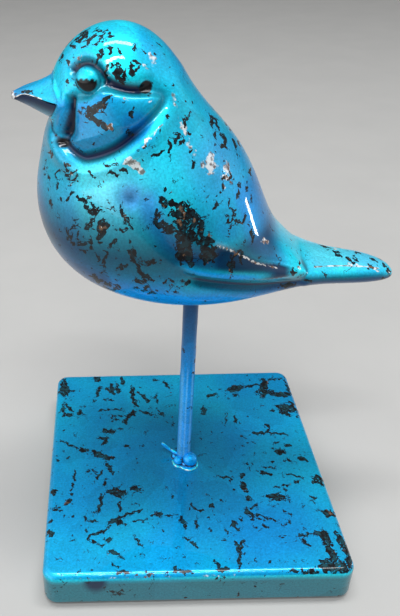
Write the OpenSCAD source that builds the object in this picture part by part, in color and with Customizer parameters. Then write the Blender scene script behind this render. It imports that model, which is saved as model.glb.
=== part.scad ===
// Bird ornament on a stem: two pressed half shells welded together, carried by a rod on a square pan base.
// The bird faces -X, its left side faces -Y. The origin is the centre of the face that rests on the table.

/* [Base] */
// Side of the square pan
base_w = 100; // [80:1:140]
// Height of the pan without the felt
base_h = 13.5; // [11:0.5:20]
// Radius of the pan's upright corners
base_corner_r = 4.5; // [3.5:0.5:12]
// Outer radius of the bend between top and sides
base_top_r = 2.25; // [1.75:0.25:3.25]
// Outer radius of the bend between sides and flange
base_foot_r = 1.75; // [1.7:0.05:3]
// Thickness of the pan's sheet
pan_wall = 1.2; // [0.8:0.1:1.6]
// Width of the flange that is turned in underneath
flange_w = 9; // [6:0.5:14]
// Thickness of the felt sheet under the pan
felt_t = 1; // [0.6:0.1:2]
// Distance from the pan's edge to the felt's edge
felt_inset = 3; // [2.5:0.5:5]

/* [Stem] */
// Diameter of the rod
stem_d = 5; // [4:0.25:7]
// Bare length of the rod between the base and the belly
stem_rise = 79.5; // [50:0.5:120]
// Length of the rod inside the belly
stem_grip = 12; // [8:1:20]
// Length of the rod under the pan's top skin
stem_tail = 5; // [4:0.5:8]
// Gap all round the rod in the holes that it passes
stem_fit = 0.1; // [0.05:0.05:0.3]
// Chamfer at both ends of the rod
stem_chamfer = 0.5; // [0.3:0.1:1]

/* [Bird] */
// Length of the body from breast to tail tip
bird_length = 111; // [90:1:140]
// Width of the body across the wings
bird_width = 61; // [50:1:76]
// Height of the body from the tail's underside to the crown
bird_height = 81; // [66:1:100]
// Least thickness of the pressed shells
shell_wall = 1.5; // [1:0.1:2]

/* [Relief] */
// Depth of the groove round the cheek
cheek_groove = 1.7; // [0.5:0.1:2.2]
// Height of the cheek pad
cheek_raise = 1.3; // [0.5:0.1:2]
// Height of the soft collar outside the groove
collar_raise = 0.9; // [0.3:0.1:1.4]
// Depth of the slot in front of the cheek
slot_depth = 1.1; // [0.4:0.1:1.4]
// Depth of the pit at the slot's lower end
pit_depth = 0.8; // [0.3:0.1:1.2]
// Radius of the eye
eye_r = 3; // [2.5:0.1:4]
// Height of the eye's dome
eye_raise = 1.6; // [0.8:0.1:2.5]
// Depth of the socket above the eye
socket_depth = 1; // [0.4:0.1:1.4]
// Depth of the brow line over the socket
brow_depth = 0.6; // [0.2:0.1:1]
// Depth of the hollow from the brow to the ear
lid_depth = 0.8; // [0.3:0.1:1.2]
// Depth of the ear dimple
ear_depth = 0.9; // [0.4:0.1:1.4]
// Depth of the shoulder dimple
shoulder_depth = 1; // [0.4:0.1:1.6]
// Height of the wing's lower edge over the belly
wing_raise = 2; // [1:0.1:3]
// Depth of the groove under the wing's lower edge
wing_groove = 1.4; // [0.5:0.1:2]
// Depth of the hollow behind the wing's front fold
wing_hollow = 1; // [0.3:0.1:1.6]
// Height of the soft ridge from the nape down the back
nape_raise = 0.8; // [0.3:0.1:1.5]
// Depth of the hollow at the throat
throat_depth = 1.5; // [0.5:0.1:1.8]

/* [Beak] */
// Distance from the head to the beak's tip
beak_length = 10.25; // [8:0.25:16]
// Height of the tip over the middle of the beak's back
beak_lift = 0.4; // [-1:0.1:2]
// Height of the blunt tip
beak_tip_h = 2.4; // [1.6:0.1:3.4]
// Width of the blunt tip
beak_tip_w = 1.6; // [1:0.1:2.4]
// Sag of the beak's ridge below a straight line
ridge_sag = 1.1; // [0.4:0.1:1.4]
// Rise of the mouth's line over a straight one
mouth_rise = 1; // [0:0.1:1.2]
// Length by which the upper half is longer than the lower
beak_hook = 0.5; // [0.2:0.1:1]
// Length of the rounding at the tip
beak_round = 0.5; // [0.2:0.1:0.8]
// Width of the ledge by which the upper half overhangs the lower
mouth_ledge = 0.7; // [0.3:0.1:1]
// Gap between the beak's back and the head that it is welded to
beak_fit = 0.1; // [0.05:0.05:0.3]

/* [Welds] */
// Leg of the fillet welds round the rod
weld_leg = 2.2; // [1.5:0.1:3]
// Radius of the ball of weld at the foot of the rod
weld_ball_r = 2.7; // [2:0.1:3.2]
// Radius of the smaller lump beside it
weld_lump_r = 1.9; // [1.2:0.1:2.2]
// Diameter of the wire end that the weld left standing
wire_d = 1.2; // [0.8:0.1:1.4]
// Length of the wire end
wire_length = 7.5; // [5:0.5:10]

/* [Hidden] */
$fn = 48;
cut = 1;
tiny = 0.001;
blue = [0.05, 0.52, 0.74];
deep_blue = [0.03, 0.33, 0.55];
felt_black = [0.06, 0.06, 0.07];

pan_top = felt_t + base_h;
belly_z = pan_top + stem_rise;
stem_r = stem_d / 2;
hole_r = stem_r + stem_fit;

// The body is drawn as sections from the crown to the tail tip, on a drawing of this length, width
// and height. Each section has its back point [x, z], its front point [x, z] and its half width.
// x is 0 at the stem.
drawn = [111, 61, 81];
crown = [-24, 81.8];
tail_tip = [64, 2];
sections = [
    [crown, crown, 0],
    [[-15.5, 80], [-33, 79], 9.5],
    [[-8, 73.5], [-40, 71.5], 15],
    [[-3, 64.5], [-43, 61], 19],
    [[3.5, 57], [-44, 50], 22.5],
    [[11, 49], [-48, 36.5], 27],
    [[17, 38.5], [-46.5, 20.5], 30.5],
    [[21, 28], [-36, 7], 31],
    [[26, 18.5], [-12, 1], 27],
    [[34, 12.5], [12, 3.5], 18],
    [[44, 9.5], [33, 3], 10.5],
    [[54, 7.5], [49, 0.5], 7],
    [[63, 5.5], [61.5, -0.5], 5],
    [tail_tip, tail_tip, 0],
];
// Lines of the relief, seen from the side on the same drawing.
eye = [-30.8, 69.6];
ear = [-16, 68];
shoulder = [-20, 43.5];
pit = [-38.7, 53.1];
cheek_middle = [-25, 60];
cheek_line = [
    [-33.8, 64.4], [-34.6, 60.4], [-35.6, 57.2], [-37, 54.8], [-36.5, 53.2], [-34, 52], [-31.4, 52.1],
    [-24.4, 55], [-17.2, 60.2], [-12.6, 64.4], [-14.2, 65.9], [-17.4, 66.3], [-20, 66.5], [-22.9, 67],
    [-25.8, 67.6], [-28.4, 67.2], [-30.4, 65.6], [-32.4, 65.1],
];
slot_line = [[-35.2, 64.8], [-35.4, 61.8], [-36.1, 58.9], [-37.6, 55.8]];
brow_line = [
    [-34.9, 71.5], [-34.1, 72.3], [-32.7, 73.2], [-31.3, 73.5], [-29.4, 73.1], [-27.6, 72], [-26.2, 70.2],
];
lid_line = [[-26, 69.9], [-23, 68.8], [-20.4, 68.1], [-17.8, 67.7]];
nape_line = [[-8.5, 67], [-5, 60], [-2, 54], [2, 47]];
front_fold = [[-16.5, 41], [-13.5, 35], [-10, 30], [-5, 26.5], [1, 24.5]];
wing_edge = [[-8, 23.5], [-3, 21.5], [6.5, 18.5], [17.5, 14.8], [31, 10.6]];

// Half widths of the pressed lines and dimples.
groove_outer_w = 1.7;
groove_inner_w = 2.2;
collar_w = 2;
slot_w = 0.9;
pit_w = 1;
socket_w = 1.1;
brow_w = 1;
lid_w = 1.6;
ear_w = 1.6;
nape_w = 3;
shoulder_w = 2.8;
fold_w = 3.2;
wing_groove_w = 1.7;
wing_swell_w = 8;
// Distances from the drawn lines: the groove, the collar, the pad's soft lower shoulder and its firm upper
// edge from the cheek's line, the socket from the eye's edge, and the groove, the edge and the swell from
// the wing's line.
groove_off = 1;
collar_off = 4.4;
pad_shoulder = 5;
pad_edge = 2;
socket_off = 1;
wing_groove_off = 2.4;
wing_edge_w = 1.8;
wing_edge_off = 1.2;
wing_swell_off = 0.6;
// Lengths over which the wing's edge comes in at the front and ends at the back, and how far it runs
// past its line.
wing_fade_in = 8;
wing_fade_out = 2.5;
wing_lead = 2;
wing_trail = 2;
// The groove round the cheek is shallow above the cheek's middle and deep below it, where the pad softens.
groove_least = 0.25;
groove_turn = 0.35;
groove_spread = 0.9;
pad_spread = 0.6;
// The eye is a little taller than wide, and its socket lies above it.
eye_stretch = 1.04;
socket_low = -2;
socket_fade = 4;
// Section and angle round which the throat is hollow, and how far that spreads.
throat_u = 3.32;
throat_spread_u = 0.38;
throat_spread_a = 43;

// Sections between which the outline is drawn, and the steps of the drawn surface.
last = len(sections) - 1;
head_from = 1.2;
head_to = 4.4;
head_steps = 34;
crown_steps = 6;
body_steps = 34;
around = 36;
side_crowding = 10;
tail_from = 8.5;
hollow_from = 0.7;
hollow_even_from = 2;
hollow_even_to = 10;
hollow_to = 11;
tail_taper = 1.5;
deepest = max(
    cheek_groove, slot_depth, pit_depth, socket_depth, brow_depth, lid_depth, ear_depth,
    shoulder_depth, wing_groove, wing_hollow, throat_depth
);
grow = [bird_length / drawn[0], bird_width / drawn[1], bird_height / drawn[2]];

// Cubic spline through the sections. Past each end the section is mirrored, which rounds the end off.
function plain(s) = [s[0][0], s[0][1], s[1][0], s[1][1], s[2]];
function swapped(s) = [s[1][0], s[1][1], s[0][0], s[0][1], -s[2]];
rows = concat([swapped(sections[1])], [for (s = sections) plain(s)], [swapped(sections[last - 1])]);
function section(u) =
    let (i = min(floor(u), last - 1), t = u - i)
    (pow(1 - t, 3) * rows[i]
        + (3 * pow(t, 3) - 6 * t * t + 4) * rows[i + 1]
        + (1 + 3 * t + 3 * t * t - 3 * pow(t, 3)) * rows[i + 2]
        + pow(t, 3) * rows[i + 3]) / 6;

// Point of the plain body: u runs from crown to tail tip, a from the front round the right side to the back.
function skin(u, a) =
    let (s = section(u), lean = cos(a))
    [
        grow.x * ((s[0] + s[2]) + (s[2] - s[0]) * lean) / 2,
        grow.y * s[4] * sin(a),
        grow.z * ((s[1] + s[3]) + (s[3] - s[1]) * lean) / 2,
    ];
// Section at which the stem meets the belly, and the height at which the drawing then lies.
function stem_section(from, to, tries) =
    let (u = (from + to) / 2)
    tries == 0 ? u : skin(u, 0).x < 0 ? stem_section(u, to, tries - 1) : stem_section(from, u, tries - 1);
stem_u = stem_section(7, 10, 20);
bird_z = belly_z - skin(stem_u, 0).z;

// Direction that points out of the plain body.
function outward(u, a) =
    let (
        du = 0.01,
        da = 0.5,
        n = cross(skin(u, a + da) - skin(u, a - da), skin(u + du, a) - skin(u - du, a))
    )
    n / norm(n);

// Smooth lines for the relief.
function knot(a, b, c, d, t) =
    b + (c - a) * t / 2 + (2 * a - 5 * b + 4 * c - d) * t * t / 2 + (3 * b - a - 3 * c + d) * pow(t, 3) / 2;
function smoothed(l) =
    let (n = len(l) - 1)
    concat(
        [for (i = [0:n - 1], t = [0:0.25:0.75]) knot(l[max(i - 1, 0)], l[i], l[i + 1], l[min(i + 2, n)], t)],
        [l[n]]
    );
function smoothed_loop(l) =
    let (n = len(l))
    [for (i = [0:n], t = [0:0.25:(i < n ? 0.75 : 0)])
        knot(l[(i + n - 1) % n], l[i % n], l[(i + 1) % n], l[(i + 2) % n], t)];
// A point or a line of the drawing, at the bird's real size.
function sized(p) = [p.x * grow.x, p.y * grow.z];
function sized_line(l) = [for (p = l) sized(p)];
eye_p = sized(eye);
ear_p = sized(ear);
pit_p = sized(pit);
shoulder_p = sized(shoulder);
cheek_p = sized(cheek_middle);
cheek_path = smoothed_loop(sized_line(cheek_line));
slot_path = smoothed(sized_line(slot_line));
brow_path = smoothed(sized_line(brow_line));
lid_path = smoothed(sized_line(lid_line));
nape_path = smoothed(sized_line(nape_line));
fold_path = smoothed(sized_line(front_fold));
edge_path = smoothed(sized_line(wing_edge));
wing_front = edge_path[0].x - wing_lead;
wing_back = edge_path[len(edge_path) - 1].x + wing_trail;

// Distance from a point to a line, and whether a loop holds the point.
function gap_to(p, a, b) =
    let (ab = b - a, t = max(0, min(1, (p - a) * ab / (ab * ab))))
    norm(p - a - t * ab);
function off(p, line) = min([for (i = [0:len(line) - 2]) gap_to(p, line[i], line[i + 1])]);
function within(p, loop) =
    len([for (i = [0:len(loop) - 2])
        let (a = loop[i], b = loop[i + 1])
        if ((a.y > p.y) != (b.y > p.y) && p.x < a.x + (b.x - a.x) * (p.y - a.y) / (b.y - a.y)) 1]) % 2 == 1;
function bell(d, w) = exp(-pow(d / w, 2));
function ramp(t) =
    let (s = max(0, min(1, t)))
    s * s * (3 - 2 * s);

// Height of the pressed relief over the plain body, at a point of the side view.
function cheek(p) =
    let (
        d = off(p, cheek_path),
        s = within(p, cheek_path) ? d : -d,
        rise = (p - cheek_p).y / max(norm(p - cheek_p), tiny),
        firm = groove_least + (1 - groove_least) * ramp((groove_turn - rise) / groove_spread),
        soft = pad_edge + (pad_shoulder - pad_edge) * ramp(-rise / pad_spread),
        groove_w = s < -groove_off ? groove_outer_w : groove_inner_w
    )
    cheek_raise * ramp((s + groove_off) / soft)
        - cheek_groove * firm * bell(s + groove_off, groove_w)
        + collar_raise * firm * bell(s + collar_off, collar_w);
function eye_dome(p) =
    let (e = norm([p.x - eye_p.x, (p.y - eye_p.y) / eye_stretch]))
    eye_raise * sqrt(max(0, 1 - pow(e / eye_r, 2)))
        - socket_depth * bell(e - eye_r - socket_off, socket_w)
            * ramp((p.y - eye_p.y - socket_low) / socket_fade);
function wing(p) =
    let (
        d = off(p, edge_path),
        g = p.y > lookup(p.x, edge_path) ? d : -d,
        along = ramp((p.x - wing_front) / wing_fade_in) * ramp((wing_back - p.x) / wing_fade_out),
        edge = ramp((g + wing_edge_off) / wing_edge_w) * bell(max(0, g - wing_swell_off), wing_swell_w)
    )
    along * (wing_raise * edge - wing_groove * bell(g + wing_groove_off, wing_groove_w));
function relief(p) =
    cheek(p) + eye_dome(p) + wing(p)
        - slot_depth * bell(off(p, slot_path), slot_w)
        - pit_depth * bell(norm(p - pit_p), pit_w)
        - brow_depth * bell(off(p, brow_path), brow_w)
        - lid_depth * bell(off(p, lid_path), lid_w)
        - ear_depth * bell(norm(p - ear_p), ear_w)
        + nape_raise * bell(off(p, nape_path), nape_w)
        - shoulder_depth * bell(norm(p - shoulder_p), shoulder_w)
        - wing_hollow * bell(off(p, fold_path), fold_w);
function throat(u, a) = throat_depth * bell(u - throat_u, throat_spread_u) * bell(a, throat_spread_a);
function face(u, a) =
    let (p = skin(u, a))
    p + (relief([p.x, p.z]) - throat(u, a)) * outward(u, a);
function lining(u, a) =
    skin(u, a) - (shell_wall + deepest * (1 - ramp((u - tail_from) / tail_taper))) * outward(u, a);

// Steps of the surface from crown to tail, and of the hollow, which has half as many.
steps = [
    for (i = [0:crown_steps - 1]) head_from * i / crown_steps,
    for (i = [0:head_steps - 1]) head_from + (head_to - head_from) * i / head_steps,
    for (i = [0:body_steps]) head_to + (last - head_to) * i / body_steps,
];
n_out = len(steps) - 1;
n_in = n_out / 2;
half_around = around / 2;
// Angles round the body, closer together on the side than at the front and back.
function turn(j) = 180 * j / around + side_crowding * sin(360 * j / around);
// The hollow keeps step with the outside, and is drawn in at the crown and at the tail.
function hollow_u(k) =
    lookup(steps[2 * k], [
        [0, hollow_from],
        [hollow_even_from, hollow_even_from],
        [hollow_even_to, hollow_even_to],
        [last, hollow_to],
    ]);
function middle(u) = (skin(u, 0) + skin(u, 180)) / 2;

// Right half of the body: the pressed outside, the plain lining and the rim on the middle plane between them.
module half_body() {
    points = concat(
        [skin(0, 0)],
        [for (i = [1:n_out - 1], j = [0:around]) face(steps[i], turn(j))],
        [skin(last, 0)],
        [middle(hollow_from)],
        [for (k = [1:n_in - 1], j = [0:half_around]) lining(hollow_u(k), turn(2 * j))],
        [middle(hollow_to)]
    );
    first_in = 2 + (n_out - 1) * (around + 1);
    function o(i, j) = i == 0 ? 0 : i == n_out ? first_in - 1 : 1 + (i - 1) * (around + 1) + j;
    last_in = len(points) - 1;
    function h(k, j) =
        k == 0 ? first_in : k == n_in ? last_in : first_in + 1 + (k - 1) * (half_around + 1) + j;
    outside = [for (i = [0:n_out - 1], j = [0:around - 1]) each [
        if (i < n_out - 1) [o(i, j), o(i + 1, j), o(i + 1, j + 1)],
        if (i > 0) [o(i, j), o(i + 1, j + 1), o(i, j + 1)],
    ]];
    inside = [for (k = [0:n_in - 1], j = [0:half_around - 1]) each [
        if (k < n_in - 1) [h(k, j), h(k + 1, j + 1), h(k + 1, j)],
        if (k > 0) [h(k, j), h(k, j + 1), h(k + 1, j + 1)],
    ]];
    rim = [for (k = [0:n_in - 1]) each [
        [o(2 * k + 1, 0), o(2 * k, 0), h(k, 0)],
        [o(2 * k + 1, 0), h(k, 0), h(k + 1, 0)],
        [o(2 * k + 2, 0), o(2 * k + 1, 0), h(k + 1, 0)],
        [o(2 * k, around), o(2 * k + 1, around), h(k, half_around)],
        [o(2 * k + 1, around), h(k + 1, half_around), h(k, half_around)],
        [o(2 * k + 1, around), o(2 * k + 2, around), h(k + 1, half_around)],
    ]];
    polyhedron(points, concat(outside, inside, rim));
}

module shell() {
    difference() {
        translate([0, 0, bird_z])
            half_body();
        translate([0, 0, belly_z - stem_grip])
            cylinder(r = hole_r, h = 2 * stem_grip);
    }
}

module right_shell() color(blue) shell();

module left_shell() color(blue) mirror([0, 1, 0]) shell();

// Solid beak on the front of the head. Its back follows the head, and its rings shrink to a blunt tip,
// with a ridge that sags and a mouth line that rises. The upper half overhangs the lower by a ledge and,
// at the tip, by a hook. The outline on the head is pinched from an oval towards a diamond.
beak_u = 2.92;
beak_up = 0.67;
beak_down = 0.54;
beak_side = 35;
beak_pinch = 0.35;
beak_rings = 9;
seat_ring = 0.5;
mouth_at = 84;
mouth_step = 1;
upper_turns = 6;
lower_turns = 6;
sag_lead = 0.45;
rise_lag = 1.8;
half_turns = [
    for (k = [0:upper_turns]) mouth_at * k / upper_turns,
    for (k = [0:lower_turns]) mouth_at + mouth_step + (180 - mouth_at - mouth_step) * k / lower_turns,
];
half_count = len(half_turns);
beak_angles = concat(half_turns, [for (k = [half_count - 2:-1:1]) 360 - half_turns[k]]);
function pinched(c) = c * pow(abs(c), beak_pinch);
function beak_back(r, a) =
    let (
        u = beak_u - r * (cos(a) > 0 ? beak_up : beak_down) * pinched(cos(a)),
        b = r * beak_side * pinched(sin(a))
    )
    face(u, b) + beak_fit * outward(u, b);
// Angle from the ridge, on either side.
function from_ridge(a) = min(a, 360 - a);
function is_lower(a) = from_ridge(a) > mouth_at;
// Share of the mouth's rise that a point takes: all at the mouth, none at the ridge and the chin.
function mouth_share(a) =
    let (b = from_ridge(a))
    b < mouth_at ? b / mouth_at : (180 - b) / (180 - mouth_at);

module beak() {
    n = len(beak_angles);
    root = beak_back(0, 0);
    half_w = beak_back(1, mouth_at).y;
    tip = root + [-beak_length, 0, beak_lift];
    function seat(a) = beak_back(is_lower(a) ? 1 - mouth_ledge / half_w : 1, a);
    function end(a) =
        let (back = beak_round + (is_lower(a) ? beak_hook : 0))
        tip + [back, beak_tip_w / 2 * sin(a), beak_tip_h / 2 * cos(a)];
    function bow(a, t) =
        let (share = mouth_share(a))
        share * mouth_rise * sin(180 * pow(t, rise_lag))
            - (is_lower(a) ? 0 : 1 - share) * ridge_sag * sin(180 * pow(t, sag_lead));
    function ring(a, t) = seat(a) + t * (end(a) - seat(a)) + [0, 0, bow(a, t)];
    points = concat(
        [root],
        [for (a = beak_angles) beak_back(seat_ring, a)],
        [for (k = [0:beak_rings], a = beak_angles) ring(a, k / beak_rings)],
        [tip]
    );
    function at(k, j) = 1 + k * n + j % n;
    faces = [for (j = [0:n - 1]) each [
        [0, at(0, j), at(0, j + 1)],
        for (k = [0:beak_rings]) each [
            [at(k, j), at(k + 1, j), at(k + 1, j + 1)],
            [at(k, j), at(k + 1, j + 1), at(k, j + 1)],
        ],
        [at(beak_rings + 1, j), len(points) - 1, at(beak_rings + 1, j + 1)],
    ]];
    color(deep_blue)
        translate([0, 0, bird_z])
            polyhedron(points, faces);
}

// Pressed pan: bends and walls run round the rounded square, the top skin and the flange lie between them.
module rounded_square(w, r) {
    square([w, w - 2 * r], center = true);
    square([w - 2 * r, w], center = true);
    for (x = [-1, 1], y = [-1, 1])
        translate([x, y] * (w / 2 - r))
            circle(r);
}

module bend(r, wall, z, up) {
    translate([base_corner_r - r, z])
        intersection() {
            difference() {
                circle(r);
                circle(r - wall);
            }
            translate([0, up > 0 ? 0 : -r])
                square(r);
        }
}

module wall_profile() {
    bend(base_top_r, pan_wall, pan_top - base_top_r, 1);
    bend(base_foot_r, pan_wall, felt_t + base_foot_r, -1);
    translate([base_corner_r - pan_wall, felt_t + base_foot_r])
        square([pan_wall, base_h - base_top_r - base_foot_r]);
}

module base_pan() {
    side = base_w - 2 * base_corner_r;
    color(blue)
        difference() {
            union() {
                for (q = [0:3])
                    rotate(90 * q) {
                        translate([side / 2, side / 2])
                            rotate_extrude(angle = 90)
                                wall_profile();
                        translate([side / 2, side / 2])
                            rotate([90, 0, 0])
                                linear_extrude(side)
                                    wall_profile();
                    }
                translate([0, 0, pan_top - pan_wall])
                    linear_extrude(pan_wall)
                        rounded_square(base_w - 2 * base_top_r, base_corner_r - base_top_r);
                translate([0, 0, felt_t])
                    linear_extrude(pan_wall)
                        difference() {
                            rounded_square(base_w - 2 * base_foot_r, base_corner_r - base_foot_r);
                            square(base_w - 2 * flange_w, center = true);
                        }
            }
            translate([0, 0, pan_top - pan_wall - cut])
                cylinder(r = hole_r, h = pan_wall + 2 * cut);
        }
}

module base_felt() {
    color(felt_black)
        linear_extrude(felt_t)
            rounded_square(base_w - 2 * felt_inset, base_corner_r);
}

module stem() {
    low = pan_top - pan_wall - stem_tail;
    length = belly_z + stem_grip - low;
    color(deep_blue)
        translate([0, 0, low])
            rotate_extrude()
                polygon([
                    [0, 0],
                    [stem_r - stem_chamfer, 0],
                    [stem_r, stem_chamfer],
                    [stem_r, length - stem_chamfer],
                    [stem_r - stem_chamfer, length],
                    [0, length],
                ]);
}

// Hollow fillet of weld round the rod, standing on the plane z = 0.
module fillet(over = 0) {
    rotate_extrude()
        difference() {
            translate([stem_r, -over])
                square([weld_leg, weld_leg + over]);
            translate([stem_r + weld_leg, weld_leg])
                circle(weld_leg);
        }
}

// Weld on top of the pan: a fillet, a ball and a smaller lump in front, and a wire end that leans off
// to the left.
ball_at = [2, -3, 2];
lump_at = [-2.1, -2.5, 1];
wire_at = [-1.5, -0.3, 1.5];
wire_tilt = 66;
wire_turn = 155;

module foot_weld() {
    color(deep_blue)
        translate([0, 0, pan_top])
            difference() {
                union() {
                    fillet();
                    translate(ball_at)
                        sphere(weld_ball_r);
                    translate(lump_at)
                        sphere(weld_lump_r);
                    translate(wire_at)
                        rotate([0, wire_tilt, wire_turn]) {
                            cylinder(d = wire_d, h = wire_length);
                            translate([0, 0, wire_length])
                                sphere(d = wire_d);
                        }
                }
                translate([0, 0, -cut])
                    cylinder(r = stem_r, h = stem_rise);
                translate([-base_w / 2, -base_w / 2, -base_h])
                    cube([base_w, base_w, base_h]);
            }
}

module under_weld() {
    color(deep_blue)
        translate([0, 0, pan_top - pan_wall])
            mirror([0, 0, 1])
                fillet();
}

// Weld round the rod at the belly, cut off by the body above it.
belly_rows = [for (d = [-1.25:0.25:1.25]) stem_u + d];
belly_angles = [for (a = [-32:8:32]) a];
module belly_cut() {
    n = len(belly_rows);
    c = len(belly_angles);
    lift = [0, 0, stem_grip];
    low = [for (u = belly_rows, a = belly_angles) face(u, a)];
    points = concat(low, [for (p = low) p + lift]);
    function at(i, j, top) = top * n * c + i * c + j;
    sheets = [for (i = [0:n - 2], j = [0:c - 2]) each [
        [at(i, j, 0), at(i + 1, j, 0), at(i + 1, j + 1, 0)],
        [at(i, j, 0), at(i + 1, j + 1, 0), at(i, j + 1, 0)],
        [at(i, j, 1), at(i + 1, j + 1, 1), at(i + 1, j, 1)],
        [at(i, j, 1), at(i, j + 1, 1), at(i + 1, j + 1, 1)],
    ]];
    ends = [for (j = [0:c - 2]) each [
        [at(0, j, 0), at(0, j + 1, 0), at(0, j + 1, 1)],
        [at(0, j, 0), at(0, j + 1, 1), at(0, j, 1)],
        [at(n - 1, j, 0), at(n - 1, j, 1), at(n - 1, j + 1, 1)],
        [at(n - 1, j, 0), at(n - 1, j + 1, 1), at(n - 1, j + 1, 0)],
    ]];
    sides = [for (i = [0:n - 2]) each [
        [at(i, 0, 0), at(i, 0, 1), at(i + 1, 0, 1)],
        [at(i, 0, 0), at(i + 1, 0, 1), at(i + 1, 0, 0)],
        [at(i, c - 1, 0), at(i + 1, c - 1, 0), at(i + 1, c - 1, 1)],
        [at(i, c - 1, 0), at(i + 1, c - 1, 1), at(i, c - 1, 1)],
    ]];
    polyhedron(points, concat(sheets, ends, sides));
}

module belly_weld() {
    color(deep_blue)
        difference() {
            translate([0, 0, belly_z])
                mirror([0, 0, 1])
                    fillet(weld_leg);
            translate([0, 0, bird_z])
                belly_cut();
        }
}

base_pan();
base_felt();
stem();
foot_weld();
under_weld();
left_shell();
right_shell();
beak();
belly_weld();
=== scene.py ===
import math

import bmesh
import bpy
import numpy as np
from mathutils import Matrix, Vector


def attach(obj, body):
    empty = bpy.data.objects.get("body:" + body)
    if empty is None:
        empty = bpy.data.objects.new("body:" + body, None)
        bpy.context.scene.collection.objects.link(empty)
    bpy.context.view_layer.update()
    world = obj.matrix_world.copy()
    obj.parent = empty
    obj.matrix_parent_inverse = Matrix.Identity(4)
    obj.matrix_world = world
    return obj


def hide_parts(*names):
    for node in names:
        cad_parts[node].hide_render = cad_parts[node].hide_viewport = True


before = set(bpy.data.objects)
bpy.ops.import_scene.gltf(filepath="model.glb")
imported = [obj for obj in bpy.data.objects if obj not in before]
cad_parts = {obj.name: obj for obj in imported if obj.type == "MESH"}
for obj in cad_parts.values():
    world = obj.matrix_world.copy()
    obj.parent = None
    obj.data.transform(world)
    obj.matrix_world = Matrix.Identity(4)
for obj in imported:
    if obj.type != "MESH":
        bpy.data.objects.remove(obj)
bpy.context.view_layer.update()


# Base pan
# Square pan pressed from sheet steel: rolled top edge, upright walls and a foot flange turned in.
# Like all the steel that shows, it is covered in blue foil, torn to the black primer, under clear lacquer.
MM = 0.001
pan_w = 100.0
pan_top = 14.5
pan_foot = 1.0
pan_corner_r = 4.5
pan_top_r = 2.25
pan_foot_r = 1.75
pan_sheet = 1.2
pan_flange = 9.0
pan_hole_r = 2.6
pan_side_points = 150
corner_points = 8


def make_piece(name, points, faces, sharp=35, **marks):
    """A smooth shaded piece from points in millimetres, with one number per point for each mark."""
    mesh = bpy.data.meshes.new(name)
    mesh.from_pydata((np.asarray(points, float) * MM).tolist(), [], faces)
    mesh.update()
    for mark, values in marks.items():
        layer = mesh.attributes.new(mark, "FLOAT", "POINT")
        layer.data.foreach_set("value", np.asarray(values, np.float32))
    mesh.shade_smooth()
    mesh.set_sharp_from_angle(angle=math.radians(sharp))
    piece = bpy.data.objects.new(name, mesh)
    bpy.context.scene.collection.objects.link(piece)
    return piece


def dress(piece, node, finish):
    """Gives a piece its finish and puts it in the place of its CAD node."""
    piece.data.materials.clear()
    piece.data.materials.append(finish)
    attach(piece, "root")
    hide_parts(node)


def ring_faces(rows, cols, closed=False, flip=False):
    """Quads between rings of points, numbered ring by ring. closed joins the last ring to the first."""
    faces = []
    for i in range(rows if closed else rows - 1):
        here, there = i * cols, (i + 1) % rows * cols
        for j in range(cols):
            k = (j + 1) % cols
            faces.append((here + j, here + k, there + k, there + j)[::-1 if flip else 1])
    return faces


def end_faces(rows, cols):
    """The two faces that close a stack of rings."""
    return [tuple(range(cols))[::-1], tuple(range((rows - 1) * cols, rows * cols))]


def limit(t):
    """Holds values between 0 and 1."""
    return np.clip(t, 0, 1)


def ramp(t):
    """Smooth step from 0 to 1."""
    t = limit(t)
    return t * t * (3 - 2 * t)


def bell(d, w=1.0):
    """Falls off smoothly from 1 over this width."""
    return np.exp(-((d / w) ** 2))


def single_marks(groups):
    """Marks from a table that groups them by half width and strength: place, half length and turn of each."""
    return [(x, y, long, wide, turn, s) for (wide, s), rows in groups.items() for x, y, long, turn in rows]


def mark_field(x, y, marks):
    """Strength of marks. Each has its place, half length, half width, turn in degrees and strength."""
    total = np.zeros_like(x)
    stray = 0.30 * np.sin(1.9 * y + 1.3 * np.sin(0.8 * x)) + 0.12 * np.sin(5.3 * y + 2.1 * x)
    y = y + 0.30 * np.sin(2.1 * x + 1.7 * np.sin(0.7 * y)) + 0.12 * np.sin(4.7 * x - 1.9 * y)
    x = x + stray
    for mx, my, long, wide, turn, strength in marks:
        c, s = math.cos(math.radians(turn)), math.sin(math.radians(turn))
        along = ((x - mx) * c + (y - my) * s) / (long + 0.15)
        across = ((y - my) * c - (x - mx) * s) / (1.15 * wide + 0.12)
        total = np.maximum(total, strength * np.exp(-(along**2 + across**2) ** 1.5 * 0.7))
    return total


def put(tree, kind, inputs=(), **settings):
    """Adds a node, with its inputs given as values or as sockets to link. Short kinds are shader nodes."""
    made = tree.nodes.new(kind if "Node" in kind else "ShaderNode" + kind)
    for key, value in settings.items():
        setattr(made, key, value)
    for key, value in dict(inputs).items():
        if isinstance(value, bpy.types.NodeSocket):
            tree.links.new(value, made.inputs[key])
        else:
            made.inputs[key].default_value = value
    return made


def vectors(tree, kind, a, b):
    return put(tree, "VectorMath", {0: a, "Scale" if kind == "SCALE" else 1: b}, operation=kind).outputs[0]


def new_finish(name):
    """An empty material and its coordinates in millimetres."""
    finish = bpy.data.materials.new(name)
    finish.use_nodes = True
    tree = finish.node_tree
    tree.nodes.clear()
    where = put(tree, "TexCoord").outputs["Object"]
    return finish, tree, vectors(tree, "SCALE", where, 1 / MM)


def speckle(tree, where, scale, detail=3.0, rough=0.55, swirl=0.0):
    return put(tree, "TexNoise", {
        "Vector": where, "Scale": scale, "Detail": detail, "Roughness": rough, "Distortion": swirl,
    }).outputs["Fac"]


def sums(tree, kind, a, b=0.0, c=0.0):
    return put(tree, "Math", {0: a, 1: b, 2: c}, operation=kind).outputs[0]


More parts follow.
